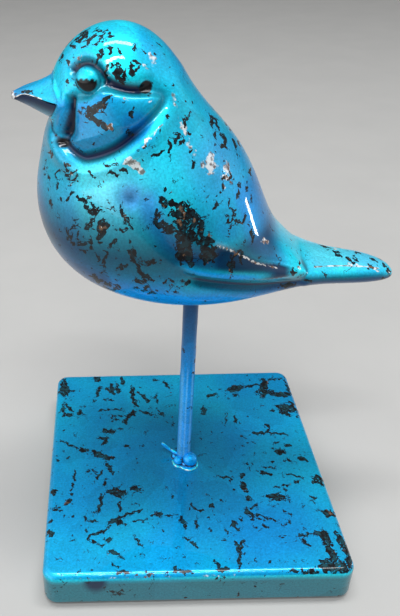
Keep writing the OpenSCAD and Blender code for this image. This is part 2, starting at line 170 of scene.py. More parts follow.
def between(tree, value, low, high, to_low=0.0, to_high=1.0, kind="SMOOTHSTEP"):
    return put(tree, "MapRange", {
        "Value": value, "From Min": low, "From Max": high, "To Min": to_low, "To Max": to_high,
    }, interpolation_type=kind).outputs["Result"]


def blend(tree, share, a, b, kind="MIX"):
    return put(tree, "Mix", {"Factor": share, 6: a, 7: b}, data_type="RGBA", blend_type=kind).outputs[2]


def mark_of(tree, name):
    return put(tree, "Attribute", attribute_name=name).outputs["Fac"]


def relief(tree, strength, deep, height):
    bump = put(tree, "Bump", {"Strength": strength, "Distance": deep * MM, "Height": height})
    return bump.outputs["Normal"]


def surface(tree, looks):
    """Ends a material's tree with its surface."""
    put(tree, "OutputMaterial", {"Surface": put(tree, "BsdfPrincipled", looks).outputs["BSDF"]})


foil_light = (0.009, 0.80, 0.97, 1)
foil_blue = (0.002, 0.37, 0.91, 1)
# navy of grooves and of painted shade
foil_navy = (0.0005, 0.010, 0.055, 1)
foil_grey = (0.040, 0.150, 0.170, 1)
foil_film = (0.006, 0.060, 0.080, 1)
painted_sheen_pale = (0.45, 0.76, 0.92, 1)
primer_black = (0.003, 0.003, 0.004, 1)
bronze_size = (0.20, 0.105, 0.055, 1)
bare_metal_and_glint = (0.86, 0.87, 0.86, 1)


def torn_foil(name, loose_marks=1.0, shift=0.0, film=0.3, cloudiness=0.6):
    """Blue foil under lacquer. The piece's marks say where it is torn, rubbed bare, given a painted
    highlight, navy in a groove or with painted shade, black with ink or painted shade, a deeper blue, in
    places painted shade and reflection, grey as a painted reflection, or pale as a painted sheen."""
    finish, tree, place = new_finish(name)
    place = vectors(tree, "ADD", place, (shift, shift * 0.7, 0))
    wander = put(tree, "TexNoise", {"Vector": place, "Scale": 0.21, "Detail": 2.0}).outputs["Color"]
    wander = vectors(tree, "SCALE", vectors(tree, "SUBTRACT", wander, (0.5, 0.5, 0.5)), 5.0)
    strayed = vectors(tree, "ADD", place, wander)
    torn, bare, ink = (mark_of(tree, mark) for mark in ("torn", "bare", "ink"))

    # flakes torn out of the foil, with scraps left inside them
    ragged = speckle(tree, strayed, 0.55, 4.0, 0.55, 0.8)
    ragged = sums(tree, "MULTIPLY_ADD", torn, 0.54, ragged)
    flakes = between(tree, ragged, 0.790, 0.805)
    scraps = between(tree, speckle(tree, strayed, 0.85, 4.0, 0.6, 1.2), 0.615, 0.64)
    flakes = sums(tree, "MULTIPLY", flakes, sums(tree, "MULTIPLY_ADD", scraps, -0.95, 1.0))
    # thin tears that wander as curls, near the flakes
    curl = sums(tree, "ABSOLUTE", sums(tree, "SUBTRACT", speckle(tree, strayed, 0.17, 4.0, 0.6, 0.6), 0.5))
    curl = between(tree, curl, 0.010, 0.020, 1.0, 0.0)
    near = sums(tree, "MULTIPLY_ADD", torn, 0.34, speckle(tree, place, 0.36, 3.0, 0.5))
    curl = sums(tree, "MULTIPLY", curl, between(tree, near, 0.59, 0.63))
    # single specks all over
    dots = put(tree, "TexVoronoi", {"Vector": strayed, "Scale": 0.24, "Randomness": 1.0})
    speck = between(tree, dots.outputs["Distance"], 0.10, 0.13, 1.0, 0.0)
    pick = put(tree, "SeparateColor", {0: dots.outputs["Color"]}).outputs[0]
    speck = sums(tree, "MULTIPLY", speck, between(tree, pick, 1 - 0.16 * loose_marks, 1 - 0.15 * loose_marks))
    gone = sums(tree, "MAXIMUM", sums(tree, "MAXIMUM", flakes, curl), speck)

    # the foil's own colour: clouds of light and deep blue, fine grain, navy where lacquer pools in a groove
    # and where shade is painted
    clouds = speckle(tree, place, 0.030, 3.0, 0.5, 0.3)
    clouds = sums(tree, "MULTIPLY_ADD", clouds, cloudiness, 0.5 - 0.5 * cloudiness)
    # the deep mark pushes the clouds to deep blue, in places as painted shade and reflection
    cloudy = sums(tree, "MULTIPLY_ADD", mark_of(tree, "deep"), -0.30, clouds)
    colour = blend(tree, between(tree, cloudy, 0.26, 0.60), foil_blue, foil_light)
    # painted reflection turns the foil grey
    colour = blend(tree, mark_of(tree, "grey"), colour, foil_grey)
    # painted sheen turns it pale
    colour = blend(tree, mark_of(tree, "pale"), colour, painted_sheen_pale)
    grain = speckle(tree, place, 1.5, 3.0, 0.7)
    grain_tone = between(tree, grain, 0.25, 0.75, 0.72, 1.28, "LINEAR")
    sheets = put(tree, "TexVoronoi", {"Vector": strayed, "Scale": 0.045, "Randomness": 1.0}).outputs["Color"]
    sheets = put(tree, "SeparateColor", {0: sheets}).outputs[1]
    grain_tone = sums(tree, "MULTIPLY", grain_tone, sums(tree, "MULTIPLY_ADD", sheets, 0.20, 0.88))
    grain_tone = put(tree, "CombineColor", {0: grain_tone, 1: grain_tone, 2: grain_tone}).outputs[0]
    colour = blend(tree, 1.0, colour, grain_tone, "MULTIPLY")
    colour = blend(tree, mark_of(tree, "groove"), colour, foil_navy)
    # rubbed places show bronze size and bare metal, and painted highlights show the same bare metal
    rub_and_glint = sums(tree, "MULTIPLY_ADD", bare, 0.55, speckle(tree, strayed, 0.5, 5.0, 0.65))
    rubbed_and_glint = between(tree, rub_and_glint, 0.84, 0.98, 0.0, 0.85)
    bronze = blend(tree, between(tree, speckle(tree, place, 0.8, 3.0), 0.45, 0.6), bare_metal_and_glint, bronze_size)
    colour = blend(tree, rubbed_and_glint, colour, bronze)
    rusty = sums(tree, "MULTIPLY_ADD", bare, 0.22, speckle(tree, place, 0.45, 4.0, 0.6, 0.4))
    rusty = between(tree, rusty, 0.64, 0.74, 0.0, 0.8)
    under = blend(tree, rusty, primer_black, bronze_size)
    # a film of blue is left inside the wider flakes
    left_over = between(tree, speckle(tree, strayed, 0.7, 3.0), 0.42, 0.60, 0.0, film)
    left_over = sums(tree, "MULTIPLY", left_over, between(tree, ragged, 0.86, 0.98))
    under = blend(tree, left_over, under, foil_film)
    colour = blend(tree, gone, colour, under)
    # black ink, and shade painted black
    colour = blend(tree, ink, colour, primer_black)

    dull = sums(tree, "MAXIMUM", gone, ink)
    metal = between(tree, dull, 0.0, 1.0, 0.40, 0.0)
    gloss = sums(tree, "MULTIPLY_ADD", grain, 0.12, 0.34)
    gloss = sums(tree, "MULTIPLY_ADD", dull, 0.15, gloss)
    height = sums(tree, "MULTIPLY_ADD", dull, -0.9, sums(tree, "MULTIPLY", grain, 0.4))
    surface(tree, {
        "Base Color": colour, "Metallic": metal, "Roughness": gloss, "Specular IOR Level": 0.1,
        "Normal": relief(tree, 0.25, 0.12, height),
        "Coat Weight": 0.65, "Coat Roughness": 0.02, "Coat IOR": 1.46,
    })
    return finish


def square_ring(half, corner_r, side_points, z):
    """One ring of points round a square with round corners, given by its half width."""
    r = min(max(corner_r, 0.4), half)
    side = np.linspace(r - half, half - r, side_points, endpoint=False)
    turn = np.radians(np.linspace(0, 90, corner_points, endpoint=False))
    x = np.concatenate([np.full(side_points, half), half - r + r * np.cos(turn)])
    y = np.concatenate([side, half - r + r * np.sin(turn)])
    ring = np.concatenate([np.stack(p, 1) for p in ((x, y), (-y, x), (-x, -y), (y, -x))])
    return np.column_stack([ring, np.full(len(ring), z)])


def pan_ring(inset, z):
    """One ring of points round the pan, this far in from its wall."""
    return square_ring(pan_w / 2 - inset, pan_corner_r - inset, pan_side_points, z)


def pan_circle(z):
    """The same ring drawn in to the hole for the rod."""
    flat = pan_ring(pan_w / 2 - 8, z)
    turn = np.arctan2(flat[:, 1], flat[:, 0])
    return np.column_stack([pan_hole_r * np.cos(turn), pan_hole_r * np.sin(turn), np.full(len(turn), z)])


def pan_bend(r, deep, z, start):
    """Rings of a rolled edge of this radius, this deep under the wall's face."""
    turns = np.radians(np.linspace(start, start + 90, 9))
    return [pan_ring(deep + r - r * np.cos(t), z + r * np.sin(t)) for t in turns]


inner_top_r = pan_top_r - pan_sheet
inner_foot_r = pan_foot_r - pan_sheet
pan_rings = [pan_circle(pan_top)]
pan_rings += [pan_ring(inset, pan_top) for inset in np.linspace(pan_w / 2 - 5, pan_top_r + 0.5, 88)]
pan_rings += pan_bend(pan_top_r, 0, pan_top - pan_top_r, 0)[::-1]
pan_rings += [pan_ring(0, z) for z in np.linspace(pan_top - pan_top_r, pan_foot + pan_foot_r, 8)[1:-1]]
pan_rings += pan_bend(pan_foot_r, 0, pan_foot + pan_foot_r, -90)[::-1]
pan_rings += [pan_ring(pan_flange, pan_foot), pan_ring(pan_flange, pan_foot + pan_sheet)]
pan_rings += pan_bend(inner_foot_r, pan_sheet, pan_foot + pan_foot_r, -90)
pan_rings += pan_bend(inner_top_r, pan_sheet, pan_top - pan_top_r, 0)
pan_rings += [pan_circle(pan_top - pan_sheet)]
pan_points = np.concatenate(pan_rings)
pan_faces = ring_faces(len(pan_rings), len(pan_rings[0]), closed=True, flip=True)
# the pressed top isn't quite flat
px, py, pz = pan_points.T
calm = limit((pan_w / 2 - np.maximum(abs(px), abs(py)) - 2) / 8) * limit((np.hypot(px, py) - 8) / 10)
pan_points[:, 2] += calm * (pz > pan_top - 2) * 0.07 * np.sin(px * 0.13 + 0.8) * np.cos(py * 0.11 - 0.4)

# torn flakes: strokes read off the photo by eye, which a scratch script turned into these millimetres
pan_marks = single_marks({
    (0.3, 0.6): [(-14.4, -30.7, 1.3, -47), (29.1, -36.1, 3.4, 1)],
    (0.3, 0.7): [(-33.6, -24.8, 1.7, 14), (34, -27.9, 1, -81), (-10.9, -44.2, 0.3, -1),
        (8.6, -45.3, 0.5, -33), (6.2, -42.4, 0.3, -1)],
    (0.3, 0.75): [(-16.4, -28.4, 4.3, 9)],
    (0.3, 0.8): [(-23.9, 23.3, 4, -4), (-36.4, -26.6, 1.7, 80), (-10.6, -33.2, 1, -62),
        (1.8, -12.3, 0.7, -2), (26.8, 6.9, 1.7, -2), (36.6, 6.5, 2.3, 32), (32.4, -31, 1.6, 49),
        (30.5, -31.7, 1.2, -17), (22.7, -28.8, 2.2, -25), (39.1, -22.9, 0.3, -2)],
    (0.3, 0.85): [(-7.7, 26.3, 1.7, -81), (-25.5, 20.7, 2.5, 18), (-40.8, -8, 3.1, 85),
        (-41.5, -13.5, 2.7, 81), (-11.2, -26.6, 4, 2), (-10.6, -26.1, 4.1, -18), (19.3, 19.7, 4.4, 75),
        (24.7, -5, 2.9, 59), (31.3, -18.3, 2.1, 23)],
    (0.3, 0.9): [(-7.7, 32.5, 3.4, -85), (-31.9, -8.4, 3.4, 59), (-30.5, -38.8, 0.9, -46),
        (-5.8, -18.6, 1.5, -79), (0.9, -23.1, 1.6, -75), (3.3, -24.9, 2.2, -11), (15.9, -11.8, 1.4, 76),
        (22.3, -27.4, 2.2, -19), (26.7, -29.2, 2.9, -25), (11, -34.2, 1.5, -84), (30.5, -49, 2.7, 3),
        (-26, -46.1, 1, -1)],
    (0.3, 0.95): [(-35.1, -35.3, 1, -77), (23.1, -45.9, 1.1, 7), (-16, -49.3, 1.9, 13)],
    (0.3, 1): [(-19, -36.8, 1.5, -71), (-17.5, -38.9, 1.6, -36)],
    (0.4, 0.7): [(-7.9, -15, 0.4, -2), (18.4, -44.2, 0.4, -1)],
    (0.4, 0.8): [(10.8, -20.6, 0.4, -2), (43.2, -23.1, 0.4, -2)],
    (0.4, 0.85): [(-24.1, 15.7, 1.5, 13), (5.9, -28.1, 0.4, -2), (30.9, -6.1, 3.1, -10),
        (24.4, -32.1, 1.4, -43)],
    (0.4, 0.9): [(-43.6, -26, 0.4, -2), (5.6, -33, 0.4, -1), (-2.2, -36.9, 2.1, -38), (-0.1, -39, 1.3, -54),
        (6.6, -23.1, 0.6, -35), (13.8, -10.2, 2.7, -10), (38.2, 11.3, 4.5, -10), (30.1, -21.1, 2.7, 3),
        (16.8, -29.2, 1.1, -63), (-24.2, -48.3, 2.6, -3)],
    (0.4, 0.95): [(-44, 8.1, 3.5, -33), (-38, 5.2, 3.6, -19), (-29.7, -12.4, 1.5, -82),
        (-33, -37.2, 2.5, -29), (34, 12.5, 2.7, 38), (39.7, -10.3, 3.3, -21), (21.6, -24, 2.1, 33),
        (47.6, -27.8, 2.2, 32), (37.2, -35.8, 3.5, 9)],
    (0.4, 1): [(40.1, -12.9, 2.9, 24), (34, -15, 4.1, 14), (15.1, -39, 2.6, 69), (13.3, -45.2, 3.3, 79),
        (-5, -48.5, 3, -3)],
    (0.5, 0.6): [(19, -6.9, 0.5, -2)],
    (0.5, 0.75): [(-33.9, -28.4, 2.7, -2)],
    (0.5, 0.85): [(-7.5, 45.3, 2, -34), (-27.4, 32.8, 2.5, -10), (-20.4, -25.5, 3.2, 20),
        (-25.2, -27.7, 2.6, 30), (1.2, -30, 2.5, 86)],
    (0.5, 0.9): [(-25.5, 39.5, 2.7, 10), (-24.7, 27, 2.4, -11), (50.2, 24, 0.5, -2),
        (43.6, -20.3, 1.3, -32), (-7.7, -47.1, 1.5, -80)],
    (0.5, 0.95): [(-13.4, 34.9, 3.8, -56), (-29.9, 26.8, 2.8, 5), (-24.6, -22.5, 2.5, -87),
        (-28.6, -30.9, 2.5, 53), (-32.5, -33.5, 2.9, 18), (35.2, 15.5, 2, -61), (6, -46.4, 1.8, -72)],
    (0.5, 1): [(-27.5, -40.8, 1.7, -14), (-25.2, -42.3, 1.9, -50)],
    (0.6, 0.7): [(-36, -32.2, 0.6, -1), (32.4, -26.2, 0.6, -2)],
    (0.6, 0.75): [(-35.4, -5.6, 1.6, 32), (-33.5, -6.2, 1.8, -56), (23, 19.5, 2.1, 85)],
    (0.6, 0.85): [(36.1, -38.8, 1.8, -57)],
    (0.6, 0.9): [(-28, 39.4, 2.5, -67), (-28.4, -36, 2, 1), (48.7, 38.6, 4.6, -86), (33.4, 15.2, 0.6, -2),
        (39.4, -2.9, 0.6, -2), (34.6, -16.9, 0.6, -2)],
    (0.6, 0.95): [(-44.2, 28.8, 2.8, -51), (-32.3, 38.6, 4.1, 81), (-12.8, 24.7, 3.6, -24),
        (-29.4, 8.9, 2.6, 57), (-47.7, -0.1, 0.6, -2), (42.4, 44.1, 2, 46), (24, 10.4, 0.6, -2),
        (40.5, 4.8, 1.5, -22), (20.5, -9.7, 2, 59)],
    (0.6, 1): [(-46.6, 27.7, 3.5, -83), (-42.8, -20.1, 1.6, 35), (-31, -19.2, 2.3, 90),
        (-31.7, -22.7, 2.1, 67), (32.8, 39.9, 3.8, 18), (14.2, -31.5, 2.1, -75), (35.4, -49.4, 2.2, 1),
        (7.8, -48.1, 2, 5)],
    (0.7, 0.8): [(-38.4, 4.4, 2.9, -33), (-48.2, -28.2, 0.7, -2)],
    (0.7, 0.85): [(29.2, -8.8, 2.8, -20)],
    (0.7, 0.9): [(-21.2, 6.4, 1, -34), (-41.8, -16.4, 0.7, -2), (-17.6, -24.7, 0.7, -2)],
    (0.7, 0.95): [(-23.7, 39.6, 2.9, -81), (-21.5, 44.6, 3.5, -83), (-28, 0.4, 2.2, 17),
        (30.6, 11.8, 3.7, 5)],
    (0.7, 1): [(-39.9, 26, 1.1, -2), (-34.2, 32.7, 0.7, -2), (13.7, -39.9, 2.8, -84),
        (40.8, -45.9, 1.8, 14)],
    (0.8, 0.8): [(-46.5, -23.2, 1.9, -2), (47.5, 29.2, 2.1, -67)],
    (0.8, 0.9): [(45.4, 44.2, 2.5, 5), (25.3, 34.5, 0.8, -2), (39, 24.4, 0.8, -2)],
    (0.8, 0.95): [(-26.3, 39.7, 3.6, -83), (-6.1, 23.7, 0.8, -2), (-2.9, 42.2, 2.8, -63),
        (-30, 10.8, 2.1, -5), (-27.9, -4.6, 3.8, -67), (-3, -30, 2.8, -68)],
    (0.8, 1): [(-44.5, 24.5, 2.2, 2), (-17.7, 37.2, 4.5, -89), (-16.9, 31, 3.2, -74),
        (-25.3, -16.3, 3.3, -60), (-18.7, -14.7, 2.4, -12), (7.6, -22.6, 0.8, -2), (15.3, 34.6, 2.3, 21),
        (46.3, -13.4, 2, -2)],
    (0.8, 1.05): [(48.6, -45.1, 3.5, 73)],
    (0.9, 1): [(11.2, 25.1, 2.7, 84), (44.3, -2.1, 2.2, -26), (20.2, -15, 3, 90), (19.7, -26.3, 2, -64),
        (47, -27.1, 2.5, -15), (42.1, -35.4, 2.5, 1)],
    (1, 0.6): [(-43.3, 0.7, 1, -2)],
    (1, 0.85): [(44.7, 22.1, 3.3, -19)],
    (1, 0.9): [(-25.6, -29.1, 2.9, -9)],
    (1, 1): [(-11.5, 32, 1, -2), (-18.5, 24.3, 3.3, 53), (-21, 20.6, 2.5, 62), (-28.2, 14.5, 2.8, -2),
        (-31.9, 2.2, 3.9, -33), (-48, -33, 1.3, -1), (30.5, -19.8, 3.6, -10)],
    (1.1, 0.9): [(-48, -15.3, 1.1, -2)],
    (1.1, 1): [(38.1, 35.9, 4, 10), (36.7, 1.8, 2.4, -20), (20.9, -20.3, 1.1, -2)],
    (1.2, 0.95): [(-46.3, 39.2, 4, 5)],
    (1.2, 1): [(-39.8, 26, 1.2, -2)],
    (1.3, 1): [(-25.2, -16.6, 3.6, -6), (44.6, 34.2, 4.8, -6), (43.1, -38.9, 4.9, -84),
        (43.9, -44.8, 2.6, -77)],
    (1.4, 0.9): [(48.2, -39.5, 4.9, -81)],
    (1.5, 1): [(-46.8, 40.8, 6.6, -85), (-32.6, 46.5, 1.5, -2)],
    (1.5, 1.05): [(38.4, 38.6, 6.3, 76), (47.9, -12.5, 2.3, -70)],
    (1.6, 1.1): [(43.1, -48.1, 5.2, -6)],
    (1.8, 1): [(26.2, 38.5, 4.2, 12)],
    (2.2, 0.95): [(45, 25.5, 4.6, -18)],
})
wall_marks = [
    (-76, 7, 3, 2, 0, 0.6), (15, 12.6, 5, 0.8, 0, 0.7), (62, 11, 4, 3, 0, 0.8), (94, 10, 7, 4, 0, 0.9),
    (78, 4, 5, 2, 0, 0.6),
]
on_wall = pz < pan_top - 1.2
pan_torn = np.where(on_wall, mark_field(px + py, pz, wall_marks), mark_field(px, py, pan_marks))
# the rolled edge is rubbed, and more bare-metal white is painted on it at the front on the left as a
# highlight
pan_edge = limit((np.maximum(abs(px), abs(py)) - 48.6) / 1.0) * limit((pz - 12.6) / 0.8)
pan_edge_wear_and_glint = pan_edge * (0.38 + 0.22 * (py < -48) * limit((18 - px) / 10))
# painted reflection makes the walls greyer, one dark patch lies below the front edge, and painted shade
# darkens the pan, most on the top round the rod
pan_grey = 0.8 * limit((pan_top - 1.6 - pz) / 1.2)
pan_dark_patch = np.clip(1.8 - 1.5 * np.hypot((px + 33) / 4.4, (pz - 12.4) / 6), 0, 0.95)
pan_dark_patch *= (py < -48.5) * limit((12.9 - pz) / 0.6)
on_top = pz > pan_top - 1
pan_shade = 0.26 + 0.26 * bell(np.hypot(px / 34, (py - 8) / 28)) * on_top
# painted light: the top is less dark at the front on the left
pan_shade -= 0.10 * bell(np.hypot((px + 30) / 26, (py + 36) / 14))
# a deeper blue all over, and more at the front right and back right as a painted reflection
pan_deep_and_reflection = 0.38 + 0.4 * bell(np.hypot((px - 26) / 22, (py + 34) / 16))
pan_deep_and_reflection += 0.15 * bell(np.hypot((px - 30) / 18, (py - 38) / 14))
base_pan = make_piece("pan", pan_points, pan_faces, torn=pan_torn, bare=pan_edge_wear_and_glint, grey=pan_grey,
                      groove=np.maximum(pan_dark_patch, pan_shade), deep=pan_deep_and_reflection * on_top)
dress(base_pan, "base_pan", torn_foil("pan foil", film=0.9, cloudiness=0.25))


# Base felt
# One sheet of black wool felt, cut square with round corners and glued under the pan's flange.
# Its face and its cut edge are hairy: loose fibres stand off the sheet.
felt_w = 94.0
felt_t = 1.0
felt_corner_r = 4.5
felt_side_points = 24
felt_fibre = 0.9
felt_fibre_r = 0.05
felt_fibres_each_cm2 = 30.0


def felt_ring(inset, z):
    """One ring of points round the felt, this far in from its edge."""
    return square_ring(felt_w / 2 - inset, felt_corner_r - inset, felt_side_points, z)


felt_insets = np.linspace(0.35, felt_w / 2 - 0.6, 26)
felt_rings = [felt_ring(i, 0.0) for i in felt_insets[::-1]]
felt_rings += [felt_ring(0.1, 0.12), felt_ring(0.0, 0.4), felt_ring(0.02, 0.75), felt_ring(0.15, felt_t)]
felt_rings += [felt_ring(i, felt_t) for i in felt_insets]
felt_cols = len(felt_rings[0])
felt_points = np.concatenate(felt_rings)
felt_faces = ring_faces(len(felt_rings), felt_cols, flip=True) + end_faces(len(felt_rings), felt_cols)
fx, fy, fz = felt_points.T
ragged_edge = 0.12 * np.sin(fx * 1.9 + 3 * np.sin(fy * 0.7)) * np.sin(fy * 2.3 + 2 * np.sin(fx * 0.9))
edge_points = (fz > 0.05) & (fz < 0.95)
felt_points[edge_points, :2] *= (1 + ragged_edge[edge_points, None] / 50)
base_felt = make_piece("felt", felt_points, felt_faces, sharp=60)

felt_finish, felt_tree, felt_place = new_finish("black felt")
nap = speckle(felt_tree, felt_place, 3.2, 5.0, 0.7, 1.2)
mats = speckle(felt_tree, felt_place, 0.22, 3.0, 0.6)
felt_black = (0.006, 0.006, 0.007, 1)
felt_worn = (0.040, 0.040, 0.044, 1)
felt_matted = (0.052, 0.050, 0.050, 1)
felt_tone = blend(felt_tree, between(felt_tree, nap, 0.38, 0.68), felt_black, felt_worn)
felt_tone = blend(felt_tree, between(felt_tree, mats, 0.5, 0.7, 0.0, 0.4), felt_tone, felt_matted)
surface(felt_tree, {
    "Base Color": felt_tone, "Roughness": 0.95, "Normal": relief(felt_tree, 0.8, 0.3, nap),
    "Sheen Weight": 0.35, "Sheen Roughness": 0.5,
})
base_felt.data.materials.append(felt_finish)

# loose fibres, scattered over the sheet by a node tree
fuzz = bpy.data.node_groups.new("loose felt fibres", "GeometryNodeTree")
fuzz.interface.new_socket("Geometry", in_out="INPUT", socket_type="NodeSocketGeometry")
fuzz_sizes = {
    "Fibre length": felt_fibre * MM, "Fibre thickness": felt_fibre_r * MM,
    "Fibres per square metre": felt_fibres_each_cm2 * 1e4,
}
for label, usual in fuzz_sizes.items():
    fuzz.interface.new_socket(label, in_out="INPUT", socket_type="NodeSocketFloat").default_value = usual
fuzz.interface.new_socket("Geometry", in_out="OUTPUT", socket_type="NodeSocketGeometry")
given = put(fuzz, "NodeGroupInput")
fibre = put(fuzz, "GeometryNodeMeshCone", {
    "Vertices": 3, "Side Segments": 2, "Radius Top": 0.0, "Radius Bottom": given.outputs["Fibre thickness"],
    "Depth": given.outputs["Fibre length"],
})
roots = put(fuzz, "GeometryNodeDistributePointsOnFaces", {
    "Mesh": given.outputs["Geometry"], "Density": given.outputs["Fibres per square metre"], "Seed": 7,
})
lean = put(fuzz, "FunctionNodeRandomValue", {
    0: (-1.35, -1.35, 0.0), 1: (1.35, 1.35, 6.28), "Seed": 3,
}, data_type="FLOAT_VECTOR")
grown = put(fuzz, "FunctionNodeRandomValue", {2: 0.35, 3: 1.0, "Seed": 5}, data_type="FLOAT")
tilt = put(fuzz, "FunctionNodeEulerToRotation", {0: lean.outputs[0]})
leaning = put(fuzz, "FunctionNodeRotateRotation", {
    0: roots.outputs["Rotation"], 1: tilt.outputs[0],
}, rotation_space="LOCAL")
hairs = put(fuzz, "GeometryNodeInstanceOnPoints", {
    "Points": roots.outputs["Points"], "Instance": fibre.outputs["Mesh"], "Rotation": leaning.outputs[0],
    "Scale": grown.outputs[1],
})
both = put(fuzz, "GeometryNodeJoinGeometry")
fuzz.links.new(given.outputs["Geometry"], both.inputs[0])
fuzz.links.new(hairs.outputs["Instances"], both.inputs[0])
real = put(fuzz, "GeometryNodeRealizeInstances", {"Geometry": both.outputs[0]})
painted = put(fuzz, "GeometryNodeSetMaterial", {"Geometry": real.outputs[0], "Material": felt_finish})
fuzz.links.new(painted.outputs[0], put(fuzz, "NodeGroupOutput").inputs[0])
base_felt.modifiers.new("fuzz", "NODES").node_group = fuzz


def bake(piece):
    """Turns a piece's modifiers into its own mesh."""
    piece.data = bpy.data.meshes.new_from_object(piece.evaluated_get(bpy.context.evaluated_depsgraph_get()))
    piece.modifiers.clear()
    return piece.data


# nothing of the fuzz goes below the table or up into the flange
for v in bake(base_felt).vertices:
    v.co.z = min(max(v.co.z, 0.0), felt_t * MM)
dress(base_felt, "base_felt", felt_finish)


# Stem
# Round steel rod, welded through the pan's top and into the bird's belly, foiled and lacquered with them.
# Its cut ends are chamfered and hidden, and the lacquer has run a little down its length.
stem_r = 2.5
stem_shown = 79.5
stem_low = pan_top - pan_sheet - 5.0
stem_high = pan_top + stem_shown + 12.0
stem_sides = 96
stem_chamfer = 0.5
stem_lacquer = 0.03
stem_heights = np.concatenate([
    [stem_low, stem_low + stem_chamfer], np.linspace(stem_low + 1, stem_high - 1, 110),
    [stem_high - stem_chamfer, stem_high],
])
stem_turn = np.linspace(0, 2 * np.pi, stem_sides, endpoint=False)
stem_rows = []
for z in stem_heights:
    chamfer = stem_chamfer if z in (stem_low, stem_high) else 0.0
    run = 0.05 * np.sin(z * 0.35 + 2 * np.sin(z * 0.11)) * np.cos(stem_turn * 2 + z * 0.05)
    r = stem_r + stem_lacquer - chamfer + 0.6 * run
    stem_rows.append(np.column_stack([r * np.cos(stem_turn), r * np.sin(stem_turn), np.full(stem_sides, z)]))
stem_points = np.concatenate(stem_rows)
stem_faces = ring_faces(len(stem_rows), stem_sides) + end_faces(len(stem_rows), stem_sides)
sx, sy, sz = stem_points.T
stem_torn = mark_field(sx, sz, [
    (2.2, 66.6, 0.5, 1.1, 0, 0.9), (2.2, 61, 0.5, 1.0, 0, 0.9), (2.1, 56, 0.6, 0.9, 0, 0.9),
    (-2.3, 66, 0.4, 1.2, 0, 0.9),
])
# painted highlights lie along the runs of lacquer down the lower half, a painted reflection lightens the
# lower end, and painted shade darkens the top under the belly
stem_run_glints = 0
for run_at, run_w in ((-139, 0.30), (-97, 0.11), (-49, 0.15)):
    off = np.angle(np.exp(1j * (np.arctan2(sy, sx) - math.radians(run_at))))
    stem_run_glints = np.maximum(stem_run_glints, bell(off, run_w) * limit((60 - sz) / 6))
stem_painted_shade = np.interp(sz, (15, 50, 62, 75, 90), (0.0, 0.06, 0.34, 0.70, 0.95))
stem_painted_reflection = np.interp(sz, (15, 40, 58), (0.14, 0.08, 0.0)) + 0.28 * stem_run_glints
stem = make_piece("rod", stem_points, stem_faces, torn=stem_torn - 0.25, groove=stem_painted_shade * (1 - stem_run_glints),
                  deep=np.interp(sz, (15, 45, 60), (0.5, 0.6, 0.8)) - 0.2 * stem_run_glints, pale=stem_painted_reflection)
dress(stem, "stem", torn_foil("rod foil", 0.1, 37.0))


# Foot weld
# Weld bead that holds the rod to the pan's top: a rippled fillet, a ball of spatter, a lump and a wire end.
# Laid by hand and left as it ran, then foiled over and flooded with lacquer, so it looks like blue glass.
weld_leg = 2.2
weld_bore_r = stem_r - 0.4
weld_turn = np.linspace(0, 2 * np.pi, 72, endpoint=False)
# ball of spatter, lump, two small drops and the flat puddles round them: place, radius and how flat
weld_drops = [
    ((2.0, -3.0, 2.0), 2.7, 0.95), ((-2.1, -2.5, 1.0), 1.9, 0.9), ((0.4, -3.6, 0.6), 1.5, 0.8),
    ((-3.0, 0.4, 0.4), 1.3, 0.7), ((1.5, -3.3, 0.1), 3.7, 0.2), ((-1.7, -2.6, 0.1), 2.8, 0.22),
]
wire_at, wire_r, wire_l, wire_tilt, wire_turn = (-1.5, -0.3, 1.5), 0.6, 7.5, 66.0, 155.0
wire_beads, wire_sag = 60, 0.5
weld_voxel = 0.14


def weld_fillet(wave, gap, height, sink=0.0, flip=False):
    """Points and faces of a fillet round the rod. wave swells its toe, height says how high it lies."""
    c, s = np.cos(weld_turn), np.sin(weld_turn)
    rows = []
    for t in np.radians(np.linspace(0, 90, 9)):
        r = stem_r + weld_leg * wave * (1 - np.sin(t)) + gap
        rows.append(np.column_stack([r * c, r * s, height(r * c, r * s, weld_leg * wave * (1 - np.cos(t)))]))
    for z in (rows[-1][:, 2], rows[0][:, 2] + sink):
        rows.append(np.column_stack([weld_bore_r * c, weld_bore_r * s, z]))
    return np.concatenate(rows), ring_faces(len(rows), len(weld_turn), closed=True, flip=flip)


foot_wave = 1 + 0.16 * np.sin(weld_turn * 11 + 0.7 * np.sin(weld_turn * 3)) + 0.08 * np.sin(weld_turn * 4 + 1)
foot_weld = make_piece("weld_on_pan", *weld_fillet(foot_wave, 0.02, lambda x, y, rise: rise))
lumps = bmesh.new()
lumps.from_mesh(foot_weld.data)
for at, r, flat in weld_drops:
    place = Matrix.Translation(Vector(at) * MM) @ Matrix.Diagonal((1, 1, flat, 1))
    bmesh.ops.create_icosphere(lumps, subdivisions=4, radius=r * MM, matrix=place)
wire_way = Matrix.Rotation(math.radians(wire_turn), 3, "Z") @ Matrix.Rotation(math.radians(wire_tilt), 3, "Y")
wire_way = wire_way @ Vector((0, 0, 1))
for k in range(wire_beads):
    t = k / (wire_beads - 1)
    sag = Vector((0, 0, -wire_sag * math.sin(math.pi * t)))
    r = wire_r * (1.25 - 0.35 * t + 0.12 * math.sin(9 * t))
    at = Vector(wire_at) + wire_way * (wire_l * t) + sag
    bmesh.ops.create_icosphere(lumps, subdivisions=2, radius=r * MM, matrix=Matrix.Translation(at * MM))
lumps.to_mesh(foot_weld.data)
lumps.free()
melt = foot_weld.modifiers.new("melt", "REMESH")
melt.mode = "VOXEL"
melt.voxel_size = weld_voxel * MM
flow = foot_weld.modifiers.new("flow", "SMOOTH")
flow.factor = 0.5
flow.iterations = 5
weld_mesh = bake(foot_weld)
for v in weld_mesh.vertices:
    v.co.z = max(v.co.z, 0.0) + pan_top * MM
weld_mesh.shade_smooth()
